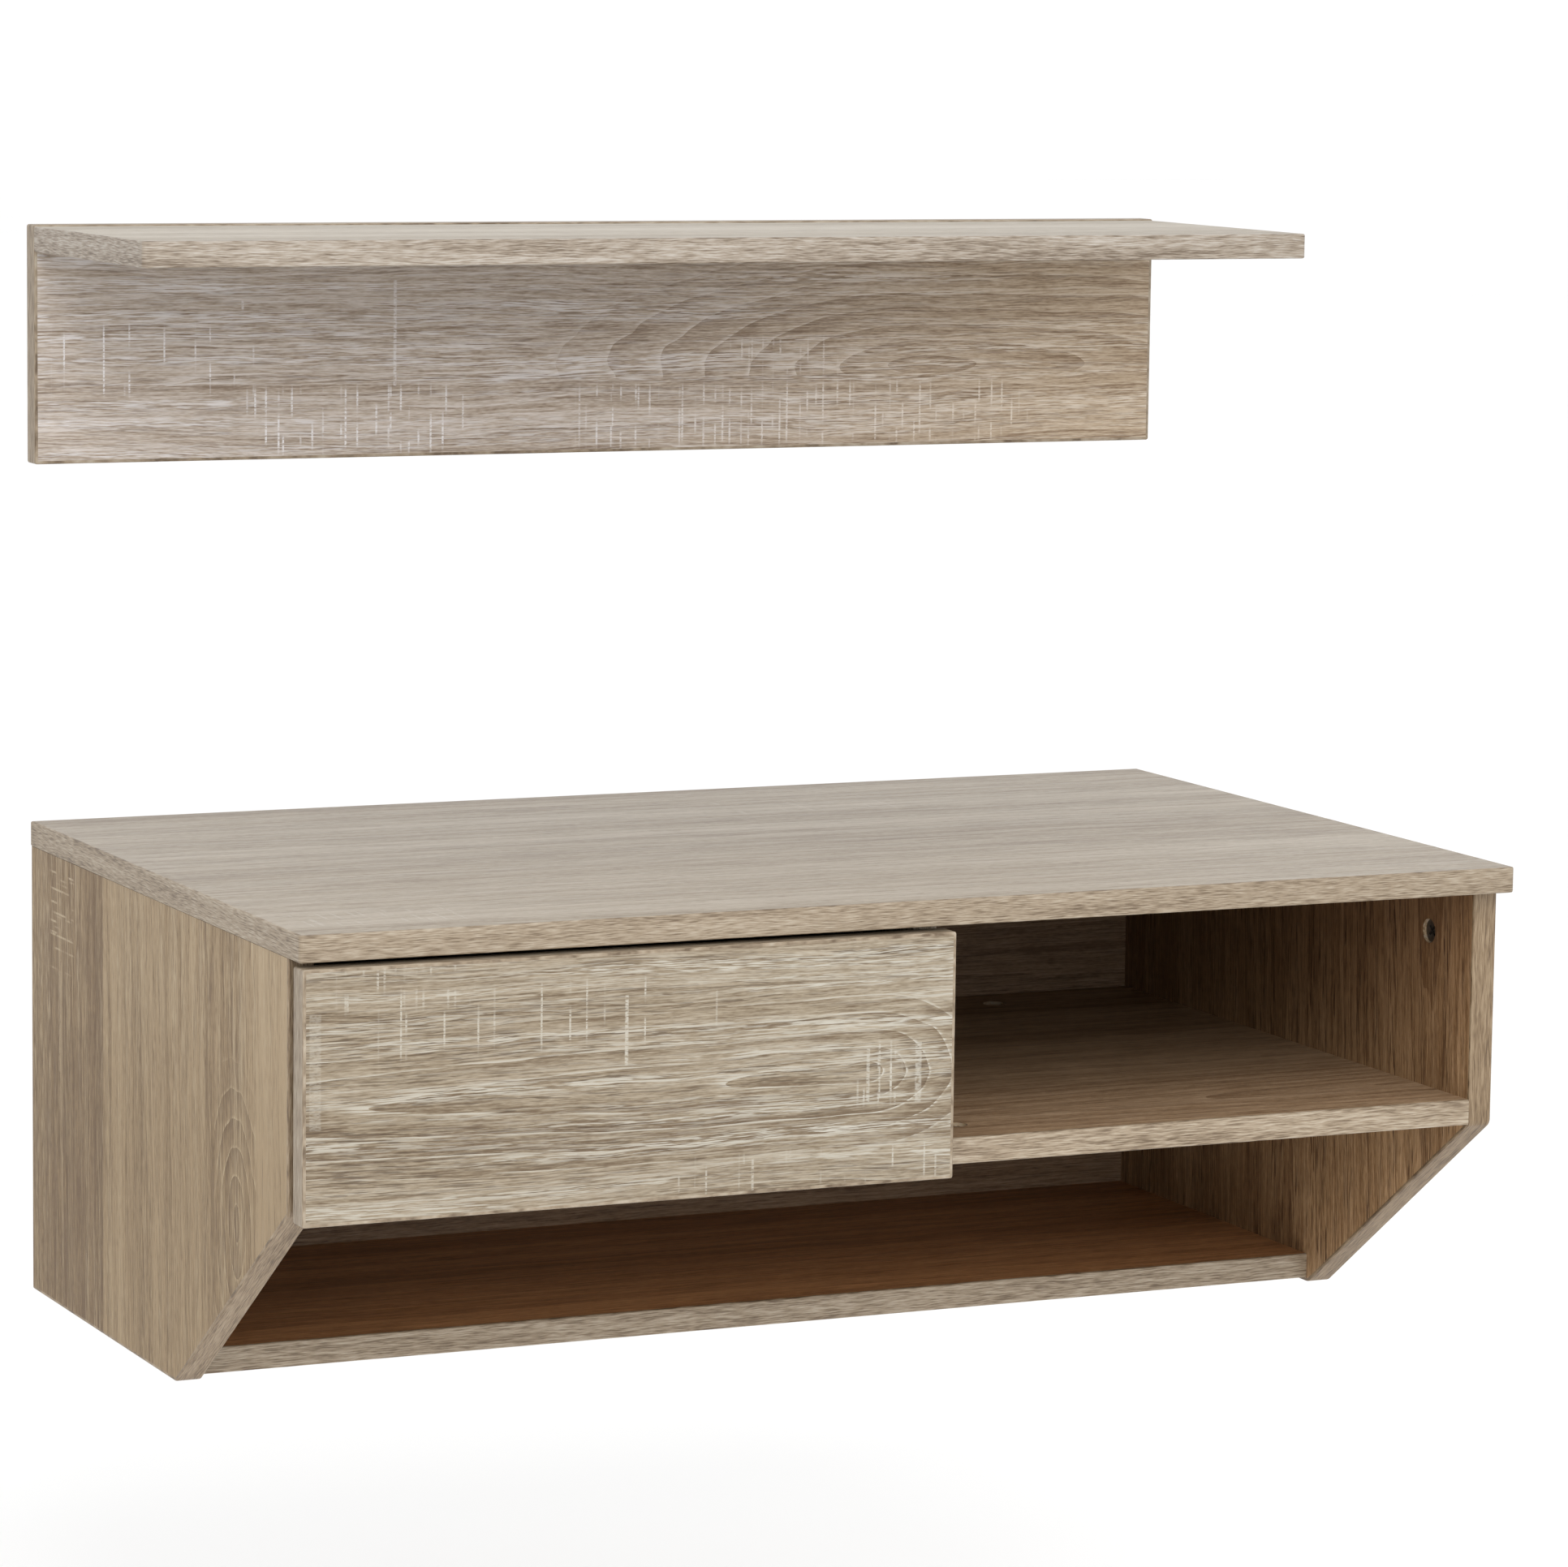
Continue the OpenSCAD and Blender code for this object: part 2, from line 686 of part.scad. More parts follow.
module cabinet_screw_cuts(s) {
    for (d = runner_screw_depths) at_runner(s) translate([-cabinet_screw_l - slack, -d, roller_z])
        rotate([0, 90, 0]) cylinder(r = cabinet_screw_r + slack, h = cabinet_screw_l + over);
}

module runner_cabinet(s) {
    color(white_steel) in_cabinet() at_runner(s) difference() {
        union() {
            slab([0, -runner_front_d, low_flange_z], [runner_t, -runner_rear_d, high_flange_z + runner_t]);
            slab([0, -runner_front_d, low_flange_z], [low_flange_w, -runner_rear_d, low_flange_z + runner_t]);
            slab(
                [0, -runner_front_d + 2 * roller_inset + roller_r, high_flange_z],
                [high_flange_w, -runner_rear_d, high_flange_z + runner_t]
            );
        }
        for (d = runner_screw_depths) translate([-over, -d, roller_z])
            rotate([0, 90, 0]) cylinder(r = cabinet_screw_r + slack, h = runner_t + 2 * over);
        translate([-over, -cabinet_roller_d, roller_z])
            rotate([0, 90, 0]) cylinder(r = pin_r + pin_clearance, h = runner_t + 2 * over);
    }
}

module runner_cabinet_left() {
    runner_cabinet(-1);
}

module runner_cabinet_right() {
    runner_cabinet(1);
}

module runner_cabinet_screws() {
    color(zinc) in_cabinet() for (s = [-1, 1], d = runner_screw_depths) at_runner(s)
        translate([-cabinet_screw_l, -d, roller_z]) rotate([0, 90, 0]) {
            cylinder(r = cabinet_screw_r, h = cabinet_screw_l + runner_t + cabinet_screw_head_t);
            translate([0, 0, cabinet_screw_l + runner_t])
                cylinder(r = cabinet_screw_head_r, h = cabinet_screw_head_t);
        }
}

module roller_pins_cabinet() {
    color(zinc) in_cabinet() for (s = [-1, 1]) at_runner(s)
        translate([0, -cabinet_roller_d, roller_z]) rotate([0, 90, 0]) {
            cylinder(r = pin_r, h = roller_end + pin_play + pin_head_t);
            translate([0, 0, runner_t]) cylinder(r = pin_head_r, h = roller_start - pin_play - runner_t);
            translate([0, 0, roller_end + pin_play]) cylinder(r = pin_head_r, h = pin_head_t);
        }
}

module roller_at(s, d) {
    color(white_plastic) in_cabinet() at_runner(s)
        translate([roller_start, -d, roller_z]) rotate([0, 90, 0]) difference() {
            cylinder(r = roller_r, h = roller_end - roller_start);
            translate([0, 0, -over]) cylinder(r = pin_r + pin_clearance, h = roller_end);
        }
}

module roller_cabinet_left() {
    roller_at(-1, cabinet_roller_d);
}

module roller_cabinet_right() {
    roller_at(1, cabinet_roller_d);
}

module roller_drawer_left() {
    roller_at(-1, drawer_roller_d);
}

module roller_drawer_right() {
    roller_at(1, drawer_roller_d);
}

module runner_drawer(s) {
    color(white_steel) in_cabinet() at_runner(s) difference() {
        union() {
            slab(
                [runner_gap - runner_t, -drawer_runner_front_d, foot_z],
                [runner_gap, -drawer_runner_rear_d, running_flange_z + runner_t]
            );
            slab(
                [runner_gap - runner_t, -drawer_runner_front_d, foot_z],
                [runner_gap + foot_w, -drawer_runner_rear_d, foot_z + runner_t]
            );
            slab(
                [running_flange_start, -drawer_runner_front_d, running_flange_z],
                [runner_gap, -drawer_runner_rear_d, running_flange_z + runner_t]
            );
        }
        for (d = foot_screw_depths) translate([runner_gap + foot_screw_x, -d, foot_z - over])
            cylinder(r = foot_screw_r + slack, h = runner_t + 2 * over);
        translate([runner_gap - runner_t - over, -drawer_roller_d, roller_z])
            rotate([0, 90, 0]) cylinder(r = pin_r + pin_clearance, h = runner_t + 2 * over);
    }
}

module runner_drawer_left() {
    runner_drawer(-1);
}

module runner_drawer_right() {
    runner_drawer(1);
}

module foot_screw_cuts(s) {
    for (d = foot_screw_depths) at_runner(s)
        translate([runner_gap + foot_screw_x, -d, box_low_z - over])
            cylinder(r = foot_screw_r + slack, h = foot_screw_l + slack + over);
}

module runner_drawer_screws() {
    color(zinc) in_cabinet() for (s = [-1, 1], d = foot_screw_depths) at_runner(s)
        translate([runner_gap + foot_screw_x, -d, foot_z - foot_screw_head_t]) {
            cylinder(r = foot_screw_r, h = foot_screw_head_t + runner_t + foot_screw_l);
            cylinder(r = foot_screw_head_r, h = foot_screw_head_t);
        }
}

module roller_pins_drawer() {
    color(zinc) in_cabinet() for (s = [-1, 1]) at_runner(s)
        translate([runner_gap, -drawer_roller_d, roller_z]) rotate([0, -90, 0]) {
            cylinder(r = pin_r, h = runner_gap - roller_start + pin_play + pin_head_t);
            translate([0, 0, runner_t])
                cylinder(r = pin_head_r, h = runner_gap - roller_end - pin_play - runner_t);
            translate([0, 0, runner_gap - roller_start + pin_play]) cylinder(r = pin_head_r, h = pin_head_t);
        }
}

// ---- drawer ----

module drawer_bottom_groove(low, high) {
    slab(low - [0, 0, slack], high + [0, 0, drawer_bottom_t + slack]);
}

module drawer_front() {
    color(oak_face) in_cabinet() difference() {
        slab(
            [front_left_x + edging_t, -front_face_d, front_low_z + edging_t],
            [front_right_x - edging_t, -front_back_d, front_high_z - edging_t]
        );
        cam_cuts(drawer_cams);
        dowel_cuts(drawer_front_dowels);
        drawer_bottom_groove(
            [box_left_x + board_t - groove_depth, -front_back_d - groove_depth, groove_z],
            [box_right_x - board_t + groove_depth, -front_back_d + over, groove_z]
        );
    }
}

module drawer_front_edging() {
    color(oak_edging) in_cabinet() difference() {
        slab([front_left_x, -front_face_d, front_low_z], [front_right_x, -front_back_d, front_high_z]);
        slab(
            [front_left_x + edging_t, -front_face_d - over, front_low_z + edging_t],
            [front_right_x - edging_t, -front_back_d + over, front_high_z - edging_t]
        );
    }
}

module drawer_side(low_x, groove_x, s) {
    difference() {
        slab([low_x, -front_back_d, box_low_z], [low_x + board_t, -box_rear_d, box_top_z]);
        drawer_bottom_groove(
            [groove_x, -front_back_d - over, groove_z],
            [groove_x + groove_depth + over, -box_rear_d - board_t + groove_depth, groove_z]
        );
        cam_cuts(drawer_cams);
        dowel_cuts(drawer_front_dowels);
        long_screw_cuts(drawer_screw_joints);
        foot_screw_cuts(s);
    }
}

module drawer_side_left() {
    color(oak_inside) in_cabinet() drawer_side(box_left_x, box_left_x + board_t - groove_depth, -1);
}

module drawer_side_right() {
    color(oak_inside) in_cabinet() drawer_side(box_right_x - board_t, box_right_x - board_t - over, 1);
}

module drawer_back() {
    color(oak_inside) in_cabinet() difference() {
        slab(
            [box_left_x + board_t, -box_rear_d - board_t, box_low_z],
            [box_right_x - board_t, -box_rear_d, box_top_z]
        );
        drawer_bottom_groove(
            [box_left_x, -box_rear_d - board_t - over, groove_z],
            [box_right_x, -box_rear_d - board_t + groove_depth, groove_z]
        );
        long_screw_cuts(drawer_screw_joints);
    }
}

module drawer_bottom() {
    color(hardboard) in_cabinet()
        slab(
            [box_left_x + board_t - bottom_inlet, -front_back_d - bottom_inlet, groove_z],
            [
                box_right_x - board_t + bottom_inlet,
                -box_rear_d - board_t + bottom_inlet,
                groove_z + drawer_bottom_t
            ]
        );
}

module drawer_cam_locks() {
    color(zinc) in_cabinet() for (j = drawer_cams) at_joint(j) cam_lock();
}

module drawer_cam_bolts() {
    color(zinc) in_cabinet() for (j = drawer_cams) at_joint(j) cam_bolt();
}

module drawer_dowels() {
    color(bare_wood) in_cabinet() for (j = drawer_front_dowels) at_joint(j) dowel();
}

module drawer_back_screws() {
    color(zinc) in_cabinet() for (j = drawer_screw_joints) at_joint(j) long_screw();
}

// ---- wall shelf ----

module wall_shelf_board() {
    color(oak_top) in_wall_shelf() difference() {
        slab(
            [-wall_shelf_w / 2 + edging_t, -wall_shelf_d + edging_t, wall_shelf_under],
            [wall_shelf_w / 2 - edging_t, -board_t, wall_shelf_top]
        );
        long_screw_cuts(wall_shelf_screw_joints);
        dowel_cuts(wall_shelf_dowel_joints);
    }
}

module wall_shelf_board_edging() {
    color(oak_edging) in_wall_shelf() difference() {
        slab(
            [-wall_shelf_w / 2, -wall_shelf_d, wall_shelf_under],
            [wall_shelf_w / 2, -board_t, wall_shelf_top]
        );
        slab(
            [-wall_shelf_w / 2 + edging_t, -wall_shelf_d + edging_t, wall_shelf_under - over],
            [wall_shelf_w / 2 - edging_t, 0, wall_shelf_top + over]
        );
    }
}

module wall_shelf_back() {
    color(oak_face) in_wall_shelf() difference() {
        slab(
            [-wall_shelf_w / 2 + edging_t, -board_t, edging_t],
            [wall_shelf_w / 2 - edging_t, 0, wall_shelf_h - edging_t]
        );
        long_screw_cuts(wall_shelf_screw_joints);
        dowel_cuts(wall_shelf_dowel_joints);
        translate([0, 0, wall_shelf_hanger_z]) {
            keyhole_cuts();
            for (s = [-1, 1]) translate([s * hanger_pitch / 2, 0, keyhole_rise / 2])
                slab(
                    [-plate_w / 2 - slack, -hanger_t, -plate_h / 2 - slack],
                    [plate_w / 2 + slack, over, plate_h / 2 + slack]
                );
        }
    }
}

module wall_shelf_back_edging() {
    color(oak_edging) in_wall_shelf() difference() {
        slab([-wall_shelf_w / 2, -board_t, 0], [wall_shelf_w / 2, 0, wall_shelf_h]);
        slab(
            [-wall_shelf_w / 2 + edging_t, -board_t - over, edging_t],
            [wall_shelf_w / 2 - edging_t, over, wall_shelf_h - edging_t]
        );
    }
}

module wall_shelf_screws() {
    color(zinc) in_wall_shelf() for (j = wall_shelf_screw_joints) at_joint(j) long_screw();
}

module wall_shelf_dowels() {
    color(bare_wood) in_wall_shelf() for (j = wall_shelf_dowel_joints) at_joint(j) dowel();
}

module wall_shelf_hanger_plates() {
    color(zinc) in_wall_shelf() translate([0, 0, wall_shelf_hanger_z]) keyhole_plates();
}

module wall_shelf_hanger_screws() {
    color(zinc) in_wall_shelf() translate([0, 0, wall_shelf_hanger_z]) keyhole_screws();
}

top_panel();
top_panel_edging();
side_panel_left();
side_panel_right();
side_edging_left();
side_edging_right();
divider_panel();
divider_edging();
shelf_panel_left();
shelf_panel_right();
shelf_edging_left();
shelf_edging_right();
bottom_panel();
bottom_edging();
back_panel();
cam_locks();
cam_bolts();
wood_dowels();
hanger_plates();
hanger_screws();
runner_cabinet_left();
runner_cabinet_right();
runner_cabinet_screws();
roller_pins_cabinet();
drawer_front();
drawer_front_edging();
drawer_side_left();
drawer_side_right();
drawer_back();
drawer_bottom();
drawer_cam_locks();
drawer_cam_bolts();
drawer_dowels();
drawer_back_screws();
runner_drawer_left();
runner_drawer_right();
runner_drawer_screws();
roller_pins_drawer();
roller_cabinet_left();
roller_cabinet_right();
roller_drawer_left();
roller_drawer_right();
wall_shelf_board();
wall_shelf_board_edging();
wall_shelf_back();
wall_shelf_back_edging();
wall_shelf_screws();
wall_shelf_dowels();
wall_shelf_hanger_plates();
wall_shelf_hanger_screws();
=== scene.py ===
"""Looks of a wall-hung TV cabinet and its wall shelf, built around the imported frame."""
import math

import bmesh
import bpy
from mathutils import Matrix, Vector


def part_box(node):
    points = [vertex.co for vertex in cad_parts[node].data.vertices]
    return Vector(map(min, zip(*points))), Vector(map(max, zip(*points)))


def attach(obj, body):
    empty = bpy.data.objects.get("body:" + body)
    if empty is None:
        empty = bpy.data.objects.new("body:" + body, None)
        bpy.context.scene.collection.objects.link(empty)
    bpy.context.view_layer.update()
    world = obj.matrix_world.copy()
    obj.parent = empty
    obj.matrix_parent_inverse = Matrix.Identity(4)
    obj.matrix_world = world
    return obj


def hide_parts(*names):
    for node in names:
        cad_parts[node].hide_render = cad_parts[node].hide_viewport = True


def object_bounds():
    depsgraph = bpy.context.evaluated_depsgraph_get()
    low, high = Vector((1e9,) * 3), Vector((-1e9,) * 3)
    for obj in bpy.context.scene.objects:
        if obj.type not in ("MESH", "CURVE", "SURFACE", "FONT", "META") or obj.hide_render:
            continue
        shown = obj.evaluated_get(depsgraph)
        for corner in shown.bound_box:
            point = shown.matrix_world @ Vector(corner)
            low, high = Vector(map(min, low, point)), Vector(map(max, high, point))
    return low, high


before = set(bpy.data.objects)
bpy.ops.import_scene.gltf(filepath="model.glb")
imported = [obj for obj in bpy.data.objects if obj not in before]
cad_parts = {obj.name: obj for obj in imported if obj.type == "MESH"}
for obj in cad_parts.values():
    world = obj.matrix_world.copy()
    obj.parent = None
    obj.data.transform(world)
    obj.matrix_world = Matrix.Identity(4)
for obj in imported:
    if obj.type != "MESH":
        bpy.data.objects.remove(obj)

bl_info = {
    "name": "Wall-hung TV cabinet",
    "version": (1, 0, 0),
    "blender": (4, 5, 0),
    "location": "View3D > Sidebar > TV cabinet",
    "description": "Oak boards, edge bands, drawer fittings and stage of a wall-hung TV cabinet",
    "category": "Object",
}

MM = 0.001
CAD_LOW, CAD_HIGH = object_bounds()


# ---- What a user may change ----

def colour(name, description, default):
    return bpy.props.FloatVectorProperty(
        name=name, description=description, default=default, subtype="COLOR", size=3, min=0, max=1
    )


def length(name, description, default):
    return bpy.props.FloatProperty(
        name=name, description=description, default=default, unit="LENGTH", min=0, precision=5
    )


def share(name, description, default):
    return bpy.props.FloatProperty(
        name=name, description=description, default=default, subtype="FACTOR", min=0, max=1
    )


class OakFinish(bpy.types.PropertyGroup):
    """Colours of the printed oak, its edging and the chipboard behind them"""
    pale: colour("Pale oak", "Broad pale streaks of the face", (0.415, 0.345, 0.262))
    middle: colour("Middle oak", "Most of the face", (0.300, 0.236, 0.162))
    dark: colour("Dark oak", "Late wood of the face", (0.165, 0.112, 0.067))
    pore: colour("Pores", "Short dark strokes along the grain", (0.080, 0.050, 0.029))
    chalk: colour("Chalk", "Limed strokes and saw marks", (0.53, 0.485, 0.415))
    edge_pale: colour("Pale edging", "Pale strokes of the edge bands", (0.44, 0.365, 0.275))
    edge_middle: colour("Middle edging", "Most of the edge bands", (0.300, 0.228, 0.152))
    edge_dark: colour("Dark edging", "Dark strokes of the edge bands", (0.135, 0.090, 0.052))
    chip_pale: colour("Pale chips", "Pale chips in a raw edge", (0.42, 0.31, 0.19))
    chip_dark: colour("Dark chips", "Gaps and dark chips in a raw edge", (0.16, 0.10, 0.05))
    paper: length("Decor paper", "Thickness of the printed layer on the chipboard", 0.0002)
    relief: share("Relief", "How deep the pores are pressed into the surface", 0.30)


class Trim(bpy.types.PropertyGroup):
    """Sizes of the edge bands' rounding and of a roller's form"""
    arris: length("Arris radius", "Rounding along most edge bands", 0.0011)
    corner: length("Corner radius", "Rounding at the corners of the top and the wall shelf's board", 0.0028)
    front_corner: length("Small corner radius", "Corners of the drawer front and wall shelf back", 0.0015)
    front_arris: length("Small arris radius", "Edges of the drawer front and wall shelf back", 0.0008)
    tyre: length("Tyre chamfer", "Slant at the rim of a roller", 0.0006)
    rim_wall: length("Rim wall", "Thickness of a roller's rim", 0.0018)
    hub_wall: length("Hub wall", "Thickness of a roller's hub", 0.0014)
    web_sink: length("Web depth", "How far a roller's web is sunk into its face", 0.0009)


class Camera(bpy.types.PropertyGroup):
    """Where the picture is taken from"""
    place: bpy.props.FloatVectorProperty(
        name="Place", description="Camera position in the frame",
        default=(-1.5669, -3.6928, 0.5888), subtype="TRANSLATION", unit="LENGTH", size=3,
    )
    yaw: bpy.props.FloatProperty(
        name="Yaw", description="Turn to the right, seen from above",
        default=math.radians(24.679), subtype="ANGLE",
    )
    pitch: bpy.props.FloatProperty(
        name="Pitch", description="Tilt, negative looks down",
        default=math.radians(-7.534), subtype="ANGLE",
    )
    roll: bpy.props.FloatProperty(
        name="Roll", description="Turn about the line of sight",
        default=math.radians(0.730), subtype="ANGLE",
    )
    lens: bpy.props.FloatProperty(
        name="Lens", description="Focal length in mm, on a 36 mm wide sensor", default=139.22, min=10,
    )


# ---- Nodes ----

class Weave:
    """Adds nodes to a tree and wires them as they are made"""

    def __init__(self, tree):
        self.tree = tree

    def feed(self, socket, value):
        if isinstance(value, bpy.types.NodeSocket):
            self.tree.links.new(value, socket)
        else:
            socket.default_value = value

    def add(self, kind, inputs=None, **settings):
        node = self.tree.nodes.new(kind)
        for key, value in settings.items():
            setattr(node, key, value)
        for key, value in (inputs or {}).items():
            self.feed(node.inputs[key], value)
        return node

    def math(self, operation, *values):
        return self.add("ShaderNodeMath", dict(enumerate(values)), operation=operation).outputs[0]

    def vector(self, operation, *values):
        return self.add("ShaderNodeVectorMath", dict(enumerate(values)), operation=operation).outputs[0]

    def point(self, x, y, z):
        return self.add("ShaderNodeCombineXYZ", {0: x, 1: y, 2: z}).outputs[0]

    def parts(self, place):
        return self.add("ShaderNodeSeparateXYZ", {0: place}).outputs

    def rise(self, value, low, high):
        """0 below low, 1 above high, smooth in between"""
        return self.add(
            "ShaderNodeMapRange", {0: value, 1: low, 2: high}, interpolation_type="SMOOTHSTEP"
        ).outputs[0]

    def noise(self, place, stretch, detail=2.0):
        """Noise with stretch cells to the metre along each axis"""
        cells = self.vector("MULTIPLY", place, stretch)
        return self.add(
            "ShaderNodeTexNoise", {"Vector": cells, "Scale": 1.0, "Detail": detail}
        ).outputs[0]

    def blend(self, factor, first, second):
        return self.add(
            "ShaderNodeMix", {0: factor, 6: first, 7: second}, data_type="RGBA"
        ).outputs[2]

    def sum(self, *terms):
        """Adds (value, weight) pairs"""
        total = None
        for value, weight in terms:
            total = self.math("MULTIPLY_ADD", value, weight, 0.0 if total is None else total)
        return total

    def ramp(self, value, stops, interpolation="LINEAR"):
        node = self.add("ShaderNodeValToRGB", {0: value})
        node.color_ramp.interpolation = interpolation
        elements = node.color_ramp.elements
        while len(elements) < len(stops):
            elements.new(1.0)
        for element, (position, tint) in zip(elements, stops):
            element.position = position
            element.color = (*tint, 1.0)
        return node.outputs[0]


def solid(tint):
    return (*tint, 1.0)


def new_material(name):
    """An empty material, and its node builder"""
    material = bpy.data.materials.new(name)
    material.use_nodes = True
    material.node_tree.nodes.clear()
    return material, Weave(material.node_tree)


def finish_surface(weave, base, roughness, height=None, depth=0.0, strength=1.0, **fixed):
    """Wires a shader from its varying colour, roughness and height"""
    shader = weave.add("ShaderNodeBsdfPrincipled", {"Base Color": base, "Roughness": roughness})
    for key, value in fixed.items():
        shader.inputs[key.replace("_", " ")].default_value = value
    if height is not None:
        bump = weave.add("ShaderNodeBump", {"Height": height, "Distance": depth, "Strength": strength})
        weave.feed(shader.inputs["Normal"], bump.outputs[0])
    output = weave.add("ShaderNodeOutputMaterial")
    weave.feed(output.inputs["Surface"], shader.outputs[0])


def new_group(name, inputs, outputs):
    """A node group with these (label, kind) sockets, its node builder and its two ends"""
    tree = bpy.data.node_groups.new(name, "ShaderNodeTree")
    for label, kind in inputs:
        tree.interface.new_socket(label, in_out="INPUT", socket_type="NodeSocket" + kind)
    for label, kind in outputs:
        tree.interface.new_socket(label, in_out="OUTPUT", socket_type="NodeSocket" + kind)
    weave = Weave(tree)
    return tree, weave, weave.add("NodeGroupInput").outputs, weave.add("NodeGroupOutput").inputs


# ---- Printed oak ----

# How fine each part of the print is, in cells to the metre along the grain and across it
WAVE = (3, 15, 15)
RIPPLE = (17, 60, 60)
BROAD = (0.8, 24, 24)
NARROW = (4.0, 210, 210)
FIBRE = (26, 820, 820)
SPECKLE = (170, 1500, 1500)
WANDER = (7, 34, 34)
STROKES = (42, 1150, 1150)
ROWS = (2.6, 150, 150)
DOTS = (120, 1700, 1700)
LIME = (52, 1500, 1500)
BANKS = (3.0, 130, 130)
CRUMBS = (330, 1000, 1000)

# Ring lines to the metre across the grain, where a plank has no figure
STRAIGHT_RINGS = 60.0

# How far the grain leaves a straight line, in metres
WAVE_SWAY = 0.012
RIPPLE_SWAY = 0.0028

# Saw marks: lines to the metre, half of a line's width in metres, and how often its length breaks
SAW = (66.0, 0.0008, 34.0)
HAZE = (160.0, 0.0009, 38.0)

# Keeps one plank's noise apart from the next one's, and the chalk's apart from the pores'
SEED_STEP = (13.1, 5.7, 3.3)
CHALK_STEP = (4.7, 1.9, 0.6)

# Brings the mean of everything that makes the tone to the middle of its ramp
TONE_SHIFT = -2.145


def saw_lines(weave, along, across, cells, half_width, reach_cells):
    """Chalky lines across the grain, each of its own length, with cells lines to the metre"""
    columns = weave.add("ShaderNodeTexVoronoi", {"W": along, "Scale": cells}, voronoi_dimensions="1D")
    far = half_width * cells
    line = weave.math("SUBTRACT", 1.0, weave.rise(columns.outputs["Distance"], far * 0.4, far))
    chance = weave.parts(columns.outputs["Color"])[0]
    own_place = weave.math("MULTIPLY", chance, 40.0)
    spot = weave.point(own_place, weave.math("MULTIPLY", across, reach_cells), 0.0)
    reach = weave.rise(weave.noise(spot, (1, 1, 1), 1.0), 0.46, 0.58)
    return weave.math("MULTIPLY", line, reach)


